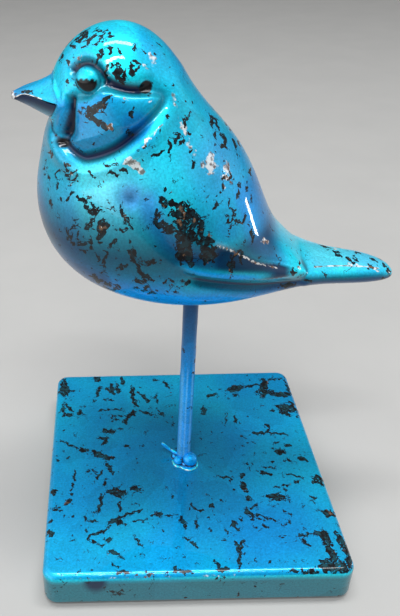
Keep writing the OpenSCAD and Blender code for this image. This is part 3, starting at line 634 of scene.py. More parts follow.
# painted shade darkens its crevices, and painted highlights lie along its front toe and the wire's back
weld_points = np.array([v.co for v in weld_mesh.vertices]) / MM
weld_out = np.array([v.normal for v in weld_mesh.vertices])
weld_edges = np.array([e.vertices for e in weld_mesh.edges])
spread = weld_points.copy()
for _ in range(14):
    pull, near = np.zeros_like(spread), np.zeros(len(spread))
    for ends in (weld_edges, weld_edges[:, ::-1]):
        np.add.at(pull, ends[:, 0], spread[ends[:, 1]])
        np.add.at(near, ends[:, 0], 1)
    spread = pull / np.maximum(near, 1)[:, None]
weld_hollow_shade = ((spread - weld_points) * weld_out).sum(1)
weld_hollow_shade /= np.percentile(weld_hollow_shade, 98)
wx, wy, wz = (weld_points - (0, 0, pan_top)).T
weld_toe_glint = limit((0.62 - wz) / 0.15) * limit((-wy - 1.2) / 0.8) * limit((0.97 - weld_out[:, 2]) / 0.15)
wire_back_glint = limit((weld_out[:, 2] - 0.75) / 0.15) * limit((-wx - 2.6) / 0.8)
weld_glint = np.maximum(weld_toe_glint, wire_back_glint)
weld_paint = {
    "deep": 0.9 - 1.6 * weld_glint, "groove": limit(1.5 * weld_hollow_shade + 0.12) * (1 - weld_toe_glint),
    "bare": 0.7 * weld_glint,
}
for paint, values in weld_paint.items():
    weld_mesh.attributes.new(paint, "FLOAT", "POINT").data.foreach_set("value", values.astype(np.float32))
dress(foot_weld, "foot_weld", torn_foil("weld foil", 0.3, 61.0))


# Weld under the pan
# The same bead on the other side of the pan's top, closed in by the felt. It keeps its CAD shape.
# Raw weld: grey steel with straw and blue heat tints.
raw_weld, raw_tree, raw_place = new_finish("raw weld")
ripple = put(raw_tree, "TexWave", {"Vector": raw_place, "Scale": 0.5, "Distortion": 4.0, "Detail": 3.0})
ripple = ripple.outputs["Fac"]
tint = speckle(raw_tree, raw_place, 0.3, 4.0, 0.6)
weld_grey, weld_blue, weld_straw = (0.20, 0.19, 0.18, 1), (0.12, 0.15, 0.24, 1), (0.30, 0.22, 0.10, 1)
raw_colour = blend(raw_tree, between(raw_tree, tint, 0.4, 0.6), weld_grey, weld_blue)
raw_colour = blend(raw_tree, between(raw_tree, ripple, 0.5, 0.9, 0.0, 0.5), raw_colour, weld_straw)
surface(raw_tree, {
    "Base Color": raw_colour, "Metallic": 0.9, "Roughness": between(raw_tree, tint, 0.3, 0.7, 0.35, 0.6),
    "Normal": relief(raw_tree, 0.5, 0.2, ripple),
})
under_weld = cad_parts["under_weld"]
under_weld.data.materials.clear()
under_weld.data.materials.append(raw_weld)


# Left body shell
# Half of head, body and tail, pressed from 1.5 mm sheet and welded to the other half, the seam ground flush.
# Eye, brow, cheek, ear spot, collar, shoulder and wing are pressed into it. Foil over all, torn in flakes.
bird_z = 91.64
crown = (-24, 81.8)
tail_tip = (64, 2)
# back point x z, front point x z and half width of each section from crown to tail tip
body_sections = np.array([
    (*crown, *crown, 0), (-15.5, 80, -33, 79, 9.5), (-8, 73.5, -40, 71.5, 15), (-3, 64.5, -43, 61, 19),
    (3.5, 57, -44, 50, 22.5), (11, 49, -48, 36.5, 27), (17, 38.5, -46.5, 20.5, 30.5), (21, 28, -36, 7, 31),
    (26, 18.5, -12, 1, 27), (34, 12.5, 12, 3.5, 18), (44, 9.5, 33, 3, 10.5), (54.3, 9, 49, 0.8, 7.9),
    (62.6, 5.8, 60.8, 0.9, 4.6), (*tail_tip, *tail_tip, 0),
], float)
section_count = len(body_sections) - 1
turned_end = lambda s: s[[2, 3, 0, 1, 4]] * (1, 1, 1, 1, -1)
body_rows = np.vstack([turned_end(body_sections[1]), body_sections, turned_end(body_sections[-2])])


def body_skin(u, a):
    """Points of the plain body. u runs from crown to tail tip, a in radians from front round to back."""
    i = np.clip(np.floor(u).astype(int), 0, section_count - 1)
    t = (u - i)[..., None]
    s = ((1 - t) ** 3 * body_rows[i] + (3 * t**3 - 6 * t**2 + 4) * body_rows[i + 1]
         + (1 + 3 * t + 3 * t**2 - 3 * t**3) * body_rows[i + 2] + t**3 * body_rows[i + 3]) / 6
    c = np.cos(a)
    x = ((s[..., 0] + s[..., 2]) + (s[..., 2] - s[..., 0]) * c) / 2
    z = ((s[..., 1] + s[..., 3]) + (s[..., 3] - s[..., 1]) * c) / 2
    return np.stack([x, s[..., 4] * np.sin(a), z], -1)


def body_out(u, a):
    """Direction that points out of the plain body."""
    around = body_skin(u, a + 0.009) - body_skin(u, a - 0.009)
    n = np.cross(around, body_skin(u + 0.01, a) - body_skin(u - 0.01, a))
    return n / np.maximum(np.linalg.norm(n, axis=-1, keepdims=True), 1e-9)


def smooth_line(line, closed=False):
    """Fine points of a smooth curve through a few given ones."""
    line = np.asarray(line, float)
    n = len(line)
    out = []
    for i in range(n if closed else n - 1):
        near = [k % n if closed else min(max(k, 0), n - 1) for k in range(i - 1, i + 3)]
        a, b, c, d = line[near]
        bend, twist = 2 * a - 5 * b + 4 * c - d, 3 * b - a - 3 * c + d
        for t in np.linspace(0, 1, 6, endpoint=False):
            out.append(b + (c - a) * t / 2 + bend * t**2 / 2 + twist * t**3 / 2)
    out.append(line[0] if closed else line[-1])
    return np.array(out)


def off_line(x, z, line):
    """Distance of each place from a line."""
    best = np.full(x.shape, 1e9)
    for (ax, az), (bx, bz) in zip(line[:-1], line[1:]):
        ex, ez = bx - ax, bz - az
        t = limit(((x - ax) * ex + (z - az) * ez) / (ex * ex + ez * ez + 1e-12))
        best = np.minimum(best, np.hypot(x - ax - t * ex, z - az - t * ez))
    return best


def inside_loop(x, z, loop):
    """Which places lie inside a closed line."""
    odd = np.zeros(x.shape, bool)
    for (ax, az), (bx, bz) in zip(loop[:-1], loop[1:]):
        crosses = (az > z) != (bz > z)
        odd ^= crosses & (x < ax + (bx - ax) * (z - az) / np.where(bz == az, 1e-9, bz - az))
    return odd


def most(*fields):
    """The strongest of several fields at each place."""
    return np.maximum.reduce(fields)


def lift_of(p):
    """Height of a place as seen from the side and a little above."""
    return 0.863 * p[..., 2] - 0.505 * p[..., 1]


eye_at, eye_r = (-30.8, 69.6), 3.0
ear_at = (-16.0, 68.0)
shoulder_at = (-20.8, 42.4)
cheek_loop = smooth_line([
    (-33.8, 64.4), (-34.6, 60.4), (-35.6, 57.2), (-37, 54.8), (-36.5, 53.2), (-34, 52), (-31.4, 52.1),
    (-24.4, 55), (-17.2, 60.2), (-12.6, 64.4), (-14.2, 65.9), (-17.4, 66.3), (-20, 66.5), (-22.9, 67),
    (-25.8, 67.6), (-28.4, 67.2), (-30.4, 65.6), (-32.4, 65.1),
], True)
cheek_slot = smooth_line([(-35.2, 64.8), (-35.4, 61.8), (-36.1, 58.9), (-37.6, 55.8)])
slot_shade = smooth_line([(-35.4, 63.4), (-35.8, 61.4), (-36.8, 58.6), (-38.1, 55.6)])
cheek_pit = (-38.7, 53.1)
slot_ridge = smooth_line([(-36.9, 65.4), (-37.6, 62), (-38.4, 58.6), (-39.4, 56)])
brow_line = smooth_line([
    (-34.9, 71.5), (-34.1, 72.3), (-32.7, 73.2), (-31.3, 73.5), (-29.4, 73.1), (-27.6, 72), (-26.2, 70.2),
])
lid_line = smooth_line([(-26, 69.6), (-23, 68.5), (-20.4, 67.8), (-17.8, 67.5)])
throat_crease = smooth_line([(-42, 57.8), (-40.8, 55.6), (-39.3, 53.8)])
pad_scratch = smooth_line([(-33.4, 57.4), (-34.6, 55.3), (-35.4, 54.2)])
nape_line = smooth_line([(-8.5, 67), (-5, 60), (-2, 54), (2, 47)])
fold_line = smooth_line([(-16.5, 41), (-13.5, 35), (-10, 30), (-5, 26.5), (1, 24.5)])
wing_edge = smooth_line([(-8, 23.5), (-3, 21.5), (6.5, 18.5), (17.5, 14.8), (31, 10.6)])
wing_crease = smooth_line([
    (1.3, 29.3), (3.7, 28.1), (6.4, 26.6), (8.4, 25.2), (11.1, 23.3), (13.2, 21.6), (16.2, 19.9),
    (19.8, 17.9), (27, 13),
])
wing_tip = smooth_line([(30.7, 12.7), (31.9, 11.5), (31.8, 10.6), (30.4, 10.1)])
tail_line = smooth_line([(33, 4.3), (40, 4.6), (48, 4.5), (55, 3.9), (60, 3.1)])
beak_u, beak_up, beak_down, beak_side = 2.92, 0.67, 0.54, math.radians(35)
# how far each form stands out from the plain body or is sunk into it
cheek_raise, cheek_depth, collar_raise = 1.3, 1.7, 0.9
slot_depth, pit_depth, ridge_raise = 1.1, 0.8, 0.6
eye_raise, socket_depth, brow_depth, lid_depth = 1.6, 1.0, 0.6, 0.8
nape_raise, ear_depth, shoulder_depth, fold_depth = 0.8, 0.9, 1.0, 1.0
wing_raise, wing_depth, crease_raise = 2.0, 1.4, 0.35
beak_rim, throat_depth = 0.9, 1.5


def pressed(u, a, p):
    """Height of the pressing over the plain body, and its paint: how navy with grooves and painted shade, how
    black with ink and painted shade, how deep a blue with painted shade and reflection.
    """
    x, z = p[..., 0], p[..., 2]

    # cheek pad in its groove, with the collar round it
    gap = off_line(x, z, cheek_loop)
    s = np.where(inside_loop(x, z, cheek_loop), gap, -gap)
    low = -(z - 60) / np.maximum(np.hypot(z - 60, x + 25), 1e-6)
    firm = 0.25 + 0.75 * ramp((low + 0.35) / 0.9)
    trough = bell(s + 1.0, np.where(s < -1.0, 1.3, 2.2))
    height = cheek_raise * ramp((s + 1) / (2 + 3 * ramp(low / 0.6))) - cheek_depth * firm * trough
    height += collar_raise * firm * bell(s + 4.4, 2.0)
    # painted shade in the groove round the cheek, darkest below it
    cheek_groove_shade = np.maximum(firm, 0.6) * bell(np.abs(s + 0.7) ** 1.6, np.where(s < -0.7, 1.6, 3.0))

    # slot in front of the cheek, between a ridge and the pad, with a pit at its lower end
    slot = bell(off_line(x, z, cheek_slot), 0.95)
    # painted shade beside the slot
    slot_painted_shade = bell(np.maximum(off_line(x, z, slot_shade) - 0.3, 0), 0.55)
    pit = bell(np.hypot(x - cheek_pit[0], z - cheek_pit[1]), 1.0)
    ridge_gap = off_line(x, z, slot_ridge)
    height += ridge_raise * bell(ridge_gap, 0.8) - slot_depth * slot - pit_depth * pit

    # eye in its socket under the brow, and the lid that runs back to the ear spot
    ex, ez = x - eye_at[0], z - eye_at[1]
    e = np.hypot(ex, ez / 1.04)
    socket = bell(e - eye_r - 1, 1.1) * ramp((ez + 2) / 4)
    brow = bell(off_line(x, z, brow_line), 1.0)
    ball = np.sqrt(np.maximum(0, 1 - (e / eye_r) ** 2))
    height += eye_raise * ball - socket_depth * socket - brow_depth * brow
    lid_gap = off_line(x, z, lid_line)
    stripe = bell(np.maximum(lid_gap - 0.5, 0), 0.9)
    height -= lid_depth * bell(lid_gap, 1.6)

    # nape, ear spot, shoulder dimple and the fold in front of the wing
    ear_gap = np.hypot(x - ear_at[0], z - ear_at[1])
    height += nape_raise * bell(off_line(x, z, nape_line), 3) - ear_depth * bell(ear_gap, 1.5)
    dimple = np.hypot(x - shoulder_at[0], z - shoulder_at[1])
    height -= shoulder_depth * bell(dimple, 2.8)
    fold = bell(off_line(x, z, fold_line), 3.2)
    height -= fold_depth * fold

    # wing edge over its groove, the crease along the wing, painted shade under the crease, and the lens
    # between them, painted bright as a reflection
    far = off_line(x, z, wing_edge)
    g = np.where(z > np.interp(x, wing_edge[:, 0], wing_edge[:, 1]), far, -far)
    along = ramp((x + 10) / 8) * ramp((33 - x) / 2.5)
    faded = ramp((x + 10) / 8) * ramp((33 - x) / (2.5 + 1.8 * np.maximum(g, 0)))
    raised = faded * wing_raise * ramp((g + 1.2) / 1.8) * bell(np.maximum(0, g - 0.6), 8)
    height += raised - along * wing_depth * bell(g + 2.4, 1.7)
    height += crease_raise * bell(off_line(x, z, wing_crease), 0.5)
    under_crease_shade = ramp((np.interp(x, wing_crease[:, 0], wing_crease[:, 1]) - z) / 0.8)
    under_crease_shade = under_crease_shade * ramp((x + 7) / 10) * ramp((27 - x) / 5)
    lens = along * bell(g - 0.9, 0.9) * ramp((20 - x) / 12)

    # rim round the beak, whose straight sides meet in a point, and the hollow of the throat
    off_beak = np.abs((u - beak_u) / np.where(u < beak_u, beak_up, beak_down))
    q = (off_beak**1.48 + np.abs(a / beak_side) ** 1.48) ** 0.675
    at_side = ramp((a / beak_side / np.maximum(q, 1e-6) - 0.4) / 0.35)
    height += beak_rim * at_side * bell(q - 1.12, 0.05)
    height -= throat_depth * bell(u - 3.32, 0.38) * bell(a, 0.75)

    # black: pupil and ear spot, and shade painted black in the pit and a little along brow, slot and lid
    jag = 0.22 * np.sin(5.1 * ex) + 0.15 * np.sin(11.3 * ex + 1)
    pupil = ramp((2.7 - e) / 0.3) * ramp((-ez + 0.1 * ex + jag + 0.1) / 0.3)
    ear_spot = ramp((1.65 - np.hypot((x - ear_at[0]) / 1.12, z - ear_at[1])) / 0.3)
    ink = most(pupil, ear_spot, ramp(2.2 * pit), 0.45 * brow, 0.7 * slot, 0.35 * slot_painted_shade, 0.4 * stripe)

    # painted shade: a dark belt along the flank, on the slope of the back and under the tail
    out_x, _, out_z = np.moveaxis(body_out(u, a), -1, 0)
    painted_shade_belt = np.interp(z, (12, 16, 21, 26, 30, 36, 41, 46), (0.10, 0.38, 0.80, 0.90, 0.80, 0.55, 0.25, 0))
    painted_shade_belt *= 1 - 0.45 * ramp((x + 4) / 8) * ramp((z - 25) / 5)
    breast = ramp((-22 - x) / 6) * ramp((24 - z) / 4)
    slope = ramp((out_x - 0.5) / 0.2) * ramp((46 - z) / 8)
    throat = ramp((-0.45 - out_x) / 0.2) * ramp((60 - z) / 6)
    pad = ramp(s / 1.5)
    pad_low = pad * (0.22 + 0.22 * ramp((66 - z) / 6))
    jaw = bell(ridge_gap, 2.6) * (1 - pad) * ramp((65.5 - z) / 3)
    behind = ramp((out_x - 0.15) / 0.35) * ramp((z - 24) / 8)
    painted_shade_belt = most(painted_shade_belt, 0.8 * breast, 0.35 * slope, 0.34 * throat, 0.34 * jaw, pad_low, 0.24 * behind)
    tail = ramp((x - 18) / 8)
    under_tail = np.maximum(ramp((0.45 - out_z) / 0.65), ramp((3.2 - lift_of(p)) / 2.8))
    painted_shade_belt = painted_shade_belt * (1 - tail) + tail * (0.85 * under_tail)

    # and painted shade in every groove, with a painted shadow by the wing tip, less on the lens
    groove = most(
        painted_shade_belt, cheek_groove_shade, slot, slot_painted_shade, 0.75 * socket, brow, 0.7 * bell(e - eye_r - 0.1, 0.4), stripe,
        0.6 * bell(dimple, 1.9), (0.2 + 0.4 * ramp((38 - z) / 12)) * fold, along * bell(g + 2.2, 1.3),
        along * (0.85 * bell(g + 3.2, 2.2)), 0.97 * under_crease_shade * (g > 0) * (1 - lens),
        0.75 * bell(off_line(x, z, wing_tip), 0.9), 0.4 * bell(q - 1.02, 0.04),
        0.9 * bell(off_line(x, z, throat_crease), 0.45), 0.6 * bell(off_line(x, z, pad_scratch), 0.3),
    ) * (1 - 0.85 * lens)
    # painted shade and reflection: a deeper blue on the underside, the lens, the pad, the throat, the fold
    # and behind
    deep = most(
        ramp((0.15 - out_z) / 0.8), lens, 0.9 * bell(np.hypot(x + 19.5, z - 59.5), 5), 0.5 * pad,
        0.5 * throat, 0.5 * jaw, 0.6 * fold, 0.32 * behind, 0.7 * slope * (1 - tail),
        0.9 * bell(dimple, 3.4),
    )
    return height, limit(groove), ink, deep


shell_u = np.concatenate([
    np.linspace(0, 1.2, 20, endpoint=False), np.linspace(1.2, 4.4, 140, endpoint=False),
    np.linspace(4.4, section_count, 221),
])
shell_cols = 150
flank = np.linspace(0, 1, shell_cols + 1)
shell_a = np.pi * flank + math.radians(10) * np.sin(2 * np.pi * flank)
# the lining is plain, lies deeper where forms are pressed in, and ends short of crown and tail tip
lining_from, lining_to = 0.7, 11.0
lining_depth, lining_extra = 1.7, 1.5
lining_u = np.interp(shell_u[::2], [0, 2, 10, section_count], [lining_from, 2, 10, lining_to])
lining_a = shell_a[::2]


def body_face(u, a):
    """Points of the pressed body and the paint on them."""
    plain = body_skin(u, a)
    height, *paint = pressed(u, a, plain)
    return plain + height[..., None] * body_out(u, a), *paint


def shell_half(name, side, torn_marks, bare_and_glint_marks):
    """One half shell: pressed outside, plain lining, and the flat rim on the middle plane."""
    n, m = len(shell_u) - 1, shell_cols
    u, a = np.meshgrid(shell_u[1:-1], shell_a, indexing="ij")
    outer, groove, ink, deep = body_face(u, a)
    outer[:, (0, -1), 1] = 0
    lu, la = np.meshgrid(lining_u[1:-1], lining_a, indexing="ij")
    depth = lining_depth + lining_extra * (1 - ramp((lu - 8.5) / 1.5))
    lining = body_skin(lu, la) - depth[..., None] * body_out(lu, la)
    lining[:, (0, -1), 1] = 0
    poles = body_skin(np.array([0.0, section_count]), np.zeros(2))
    ends = np.array([lining_from, lining_to])
    ends = (body_skin(ends, np.zeros(2)) + body_skin(ends, np.full(2, np.pi))) / 2
    points = np.concatenate([
        poles[:1], outer.reshape(-1, 3), poles[1:], ends[:1], lining.reshape(-1, 3), ends[1:],
    ])
    first, last = 2 + (n - 1) * (m + 1), len(points) - 1
    rows, cols = n // 2, m // 2
    out_at = lambda i, j: 0 if i == 0 else first - 1 if i == n else 1 + (i - 1) * (m + 1) + j
    in_at = lambda k, j: first if k == 0 else last if k == rows else first + 1 + (k - 1) * (cols + 1) + j
    faces = []
    for i in range(n):
        for j in range(m):
            quad = (out_at(i, j), out_at(i + 1, j), out_at(i + 1, j + 1), out_at(i, j + 1))
            faces.append(tuple(dict.fromkeys(quad)))
    for k in range(rows):
        for j in range(cols):
            quad = (in_at(k, j), in_at(k, j + 1), in_at(k + 1, j + 1), in_at(k + 1, j))
            faces.append(tuple(dict.fromkeys(quad)))
        for edge, inner, flip in ((0, 0, 1), (m, cols, -1)):
            a0, a1, a2 = (out_at(2 * k + step, edge) for step in range(3))
            b0, b1 = in_at(k, inner), in_at(k + 1, inner)
            for tri in ((a1, a0, b0), (a1, b0, b1), (a2, a1, b1)):
                faces.append(tri[::flip])
    # the marks are drawn as seen from the side and a little above
    x, z, lift = outer[..., 0], outer[..., 2], lift_of(outer)
    # painted highlights: a line along the wing's crease and a glint along the tail's top
    crease_highlight = bell(off_line(x, z - 0.15, wing_crease), 0.45) * ramp((x - 1) / 2) * ramp((24 - x) / 6)
    tail_glint = bell(off_line(x, lift, tail_line), 0.34) * ramp((x - 33) / 3) * ramp((59 - x) / 3)
    # painted sheen: a pale reflection on the breast, along the tail's top, on the back and on the wing's
    # crease
    pale = 0.26 * bell(np.hypot((x + 27) / 11, (lift - 24) / 10))
    pale += 0.20 * ramp((x - 30) / 8) * ramp((lift - 2) / 4)
    pale += 0.10 * bell(np.hypot((x - 1) / 9, (lift - 32) / 8))
    paint = {
        "torn": mark_field(x, lift, torn_marks), "groove": groove, "ink": ink,
        "bare": most(mark_field(x, lift, bare_and_glint_marks), 0.92 * crease_highlight, 1.05 * tail_glint),
        "deep": deep, "pale": np.maximum(pale, 0.95 * crease_highlight),
    }
    # the lining carries no paint
    for mark, values in paint.items():
        paint[mark] = np.concatenate([[0], values.reshape(-1), np.zeros(last - values.size)])
    points = points * (1, side, 1) + (0, 0, bird_z)
    if side < 0:
        faces = [f[::-1] for f in faces]
    return make_piece(name, points, faces, sharp=70, **paint)


# torn and rubbed places, some of the rubbed ones being painted highlights, made from strokes in the same way
# as those of the pan
left_marks = single_marks({
    (0.3, 0.1): [(-46.7, 30.9, 0.3, 85)],
    (0.3, 0.5): [(-9.1, 51.5, 1, -70), (-24.5, 24.3, 0.3, 0), (-18.5, 16.6, 0.3, 3), (-0.1, 37.9, 0.3, 7)],
    (0.3, 0.6): [(-20.4, 39.8, 1, -76), (-8.2, -1.7, 0.9, 9), (-38.5, 29.4, 0.8, -78),
        (-31.5, 5.6, 0.3, -5), (-34.4, 18.5, 0.3, -8), (-1.2, 32.2, 1.4, 80)],
    (0.3, 0.7): [(-11.8, 58.6, 0.6, -63), (-16.5, 36, 0.3, 7), (-32.1, 62.1, 0.6, 10), (-20.2, 39, 0.3, 3),
        (-10.5, -0.9, 0.9, 2), (-7.1, -0.1, 1, 4), (-12.6, 7.3, 0.3, -4), (-43.6, 33.7, 2.2, 86),
        (-37.2, 33.2, 1, -32), (-6.1, 48.4, 0.3, 8), (2.2, 37.4, 0.7, 65), (1, 35, 0.8, -12),
        (-2.8, 23.5, 0.3, 10)],
    (0.3, 0.75): [(-37.9, 61.6, 1.8, 78)],
    (0.3, 0.8): [(-27.2, 64.5, 0.9, 39), (-25.1, 59.9, 1.2, 84), (-24.7, 56, 1.1, 82),
        (-12.1, 62.8, 0.6, -32), (-13.5, 59.9, 0.3, 16), (-33.1, 45, 0.3, -12), (-43.6, 34.1, 0.9, -85),
        (-36.1, 53.5, 0.6, -65), (-14, -0.4, 0.6, -37), (-9.4, 0.1, 0.6, -8), (-42.3, 30.5, 0.3, -13),
        (-40.1, 29.6, 1.4, -78), (-39.8, 27.4, 1.1, -88), (-34.7, 29, 0.9, 71), (-33.1, 9.3, 0.3, 0),
        (-33.2, 13.4, 0.5, -51), (-25, -0.6, 1.5, 6), (-25.6, 31, 0.3, -4), (-4.9, 39.7, 0.9, -68),
        (-5.5, 35.2, 0.3, -3), (2.5, 43.6, 0.3, 15), (4.5, 33.6, 0.8, -82), (-4, 30.8, 0.3, 5),
        (33.2, 0.4, 1.5, 1), (38.5, 1.9, 0.7, -52)],
    (0.3, 0.85): [(-24.9, 64.7, 0.8, -64), (-34.7, 63.4, 1.4, -68), (-32, 67.6, 1, 27),
        (-27.2, 59.4, 1.4, 78), (-23.5, 55.7, 1.2, -66), (-10.4, 36, 1.7, -88), (-13.6, 34, 2.3, 30),
        (-10.6, 44.1, 0.3, 4), (-16.6, 0.1, 0.9, -10), (-39.9, 31.2, 0.8, 37), (-42, 23.3, 1.3, 83),
        (-36.5, 13.6, 1.3, -87), (-32.9, 12.3, 1.4, 24), (-31.4, 12.4, 0.7, 59), (-33.5, 10.3, 1.3, 11),
        (-31, 10.8, 0.8, -67), (-27.5, -0.3, 0.9, -35), (-25.8, 31.6, 2, 2), (-5.2, 44.4, 1.1, 78),
        (2.5, 40.4, 1.7, -82), (4.7, 28.4, 1.7, -4), (2.9, 24.3, 1.1, 40)],
    (0.3, 0.9): [(-27.2, 66.1, 1.8, -13), (-26.7, 64.1, 1.5, 69), (-28, 62.3, 1.3, 9),
        (-36, 58.6, 1.2, -87), (-18.8, 60.6, 1, 79), (-22.7, 60, 1.3, -65), (-24.8, 60.6, 1.1, -11),
        (-26.1, 54.9, 1.5, -87), (-23, 56.4, 1.2, -56), (-18.6, 57, 0.7, -9), (-16.5, 59.9, 0.6, -75),
        (-26.7, 41.1, 0.5, -33), (9.3, 6.7, 1.1, 87), (-19.3, -0.1, 0.8, -37), (-17.6, -1, 0.9, 14),
        (-15, -1.6, 1, 9), (-37.2, 31, 0.5, 3), (-34.9, 30.8, 1.2, 3), (-36.6, 30, 0.8, 2),
        (-30.5, 29.8, 1, -46), (-37.6, 14.9, 2, -83), (-35.9, 16.3, 1.3, 6), (-36.4, 12.3, 0.7, -6),
        (-25.3, 12, 1.6, 56), (-24.9, 20.8, 1.1, 0), (-30, 2.9, 0.8, -49), (-22.2, 30.1, 1.5, -12),
        (-7.2, 37.1, 1.1, 64), (7.3, 45.1, 0.3, 3), (-4.2, 31.8, 1.4, -71), (11.6, 28.4, 0.3, 13),
        (4, 26.3, 1.5, 77), (1.8, 21, 1.9, 72), (9.2, 8.2, 1.8, 89)],
    (0.3, 0.95): [(-31, 65.7, 1.5, 78), (-30.3, 62.7, 0.9, 49), (-24.5, 63.8, 1.3, 31),
        (-28.3, 58.1, 1.2, 86), (-18.4, 55.1, 1.6, 72), (-25.1, 40.6, 1.1, -85), (-6.8, 37.7, 1.5, -82),
        (-11.9, 25, 0.7, -61), (8.1, 8.8, 1.9, 37), (6.9, 7, 0.9, -73), (-9.4, 1.6, 0.7, -13),
        (-22.7, 5.8, 1.7, 16), (-35.9, 28.9, 1.1, -5), (-36.1, 27.3, 0.8, -5), (-36.3, 25.2, 0.9, 47),
        (-37.1, 24.2, 0.7, 57), (-34.1, 24.7, 0.4, -21), (-34.6, 14.8, 2.1, 85), (-29, 12.2, 0.8, -47),
        (-29.4, 8, 1.7, -72), (-27.6, 7.2, 2.7, 75), (-20.6, 15.9, 1, -85), (-22.7, 6.1, 1.4, 9),
        (-25.3, 29.5, 1.7, -9), (-25.5, 29.9, 0.6, -38), (-5.8, 43.2, 1.1, -75), (3.6, 43.8, 1.7, 88),
        (4.7, 40.6, 0.8, -61), (6.3, 29.7, 1.5, -85), (11.5, 26.1, 1, 58), (8.6, 24.4, 1.3, 82),
        (5.6, 16.8, 0.8, 5), (29.3, 5.6, 0.7, 85)],
    (0.3, 1): [(-19.9, 55.7, 1.2, 69), (-19.6, 54, 0.9, -39), (-30.1, 42.8, 1, -43), (-12, 21.6, 2.1, -8),
        (-6.3, 21.1, 1.3, 2), (-12.1, 16.8, 1.9, -5), (0.3, 12.8, 0.9, -71), (1.9, 9.9, 1.1, 9),
        (6.2, 4.6, 0.9, -82), (-11.7, 1.3, 1.3, 44), (-18.8, 1.5, 1.1, -9), (-31, 24, 0.7, -28),
        (-32, 21.4, 1.6, -61), (-30.6, 22.2, 1.3, -44), (-28.2, 20.3, 1.1, 8), (-30.9, 18.3, 1.1, -50),
        (-32.3, 16.3, 1, 62), (-31, 16.8, 1.1, -19), (-27.4, 10, 0.9, -11), (-19, 1.6, 0.9, -5),
        (-8.2, 38.1, 1.2, 65), (5.9, 21.7, 1.5, -71), (5.9, 18.2, 1.8, -17), (10.3, 17.7, 1.3, 70),
        (6, 14.7, 1.2, 68)],
    (0.4, 0.75): [(-39.2, 23.9, 0.9, -48)],
    (0.4, 0.8): [(-6.3, 41.7, 1.5, 84)],
    (0.4, 0.9): [(10.8, 39.9, 1.3, 82), (54.8, 4.2, 1.1, -51)],
    (0.4, 0.95): [(-22.8, 52.4, 1.5, -30), (-25.8, 47.9, 1.1, 3), (-41.5, 36.7, 0.9, -88),
        (-30.1, 2.3, 2.6, -26), (8.8, 43.6, 0.4, 14), (13.7, 31.1, 1.9, -83)],
    (0.4, 1): [(-27.1, 46.7, 1.2, 58), (-8.4, 38, 1.5, 71), (-9.2, 21.6, 1.2, -20), (-14.1, 17.7, 1.7, -80),
        (-18.9, 5.7, 2.3, -63), (-24.2, 0.3, 0.7, 3), (-33.1, 23.3, 1.2, -12), (-27.9, 17.7, 1.7, -4),
        (-21.5, 17.5, 1, -80), (-23.9, 0.4, 0.7, -2), (1.8, 44.1, 1.7, -89), (2.8, 45.4, 1, -31),
        (7, 19.3, 1.5, -76), (11.3, 22.2, 0.7, -39), (45.6, 7.8, 1.2, 9), (50.4, 6.8, 1.3, 82),
        (56.5, 6.2, 1.2, -33), (59.9, 4.5, 0.7, 27), (58.9, -0.1, 2.2, 12)],
    (0.4, 1.05): [(5, 37.2, 1, 12), (8.5, 17.1, 1.5, -28), (12.9, 13.5, 1.9, 90)],
    (0.5, 0.75): [(-21.9, 15.6, 1.2, 25)],
    (0.5, 0.95): [(-32.5, 66.4, 2.5, 38), (-26, 47.7, 0.7, 26)],
    (0.5, 1): [(-29.5, 64.4, 1.3, 31), (-28.8, 46, 1.5, 18), (-28.3, 42.1, 1.5, -46), (-20.1, 44, 1, -89),
        (-2.3, 15.6, 2, -75), (-3, 12.2, 1.6, -15), (-8.4, 17, 1.4, 13), (-5.4, 1.2, 1.3, 2),
        (-16.7, 2.9, 2, -35), (-22.7, 19.4, 1.4, -73), (-26.9, 1.1, 1.5, -6), (8.9, 39.1, 1.3, -82),
        (-7.4, 21.3, 2.6, -5), (-17.5, 1.7, 2, -8), (26.5, 3, 1.1, 16), (25.6, -0.7, 3.4, 4)],
    (0.5, 1.05): [(-30.6, 45, 1.2, -71), (-28.2, 14, 1.4, 21), (9.3, 27.2, 0.9, -87),
        (48.2, 6.3, 1.1, -53)],
    (0.6, 0.95): [(-4.3, 13.5, 1.7, 2), (60.9, 2.6, 1.4, -47)],
    (0.6, 1): [(-32.5, 64.7, 1.1, 42), (-12, 22.3, 1.4, -54), (6.2, 5.6, 1.2, -5), (-15.8, 6.6, 1.6, -1),
        (-14, 18.3, 1.8, 83), (-12.8, 16.1, 1.7, -36), (-16.3, 2.7, 1.5, -36), (-27, 41, 1.1, -28)],
    (0.6, 1.05): [(-22, 53, 1.5, -46), (5.2, 39.8, 1.5, -76), (-28.9, 42.6, 1.6, -37)],
    (0.7, 1): [(-10.6, 15, 2, 3), (-20.3, 8.8, 1.8, -70), (-5.2, 12.7, 1.5, -60), (-20.1, 8.3, 1.8, -66),
        (-28.3, 45.8, 1.6, 25)],
    (0.7, 1.05): [(-30, 20.4, 1.3, 27), (-11.2, 21.8, 2, -11)],
    (0.8, 1): [(-7.8, 8.3, 2.1, -70), (-10.4, 15.1, 1.9, -7), (0.7, 8.7, 2, -77)],
    (0.8, 1.05): [(-0.7, 11.6, 1.6, 18), (-7.8, 8.5, 2.1, -78)],
    (0.9, 1.05): [(-23.2, 53.9, 1.7, -75), (-5.3, 7.6, 2.4, -78), (-28, 16.3, 1.8, 35),
        (-2.3, 15.2, 1.5, -88), (-1.2, 12.1, 2.3, -4), (-30.3, 44.6, 1.4, -89)],
    (0.9, 1.1): [(-5.5, 8.2, 3, -77)],
    (1.1, 1): [(-8, 19, 2.9, -5)],
    (1.1, 1.1): [(-3.5, 17.5, 2.4, -47)],
    (1.2, 1): [(-0.3, 8.1, 2.8, -51)],
    (1.2, 1.05): [(-4.5, 17.7, 2.7, -33), (-6.8, 12.2, 3, -59), (-6.6, 14.9, 2.3, -13)],
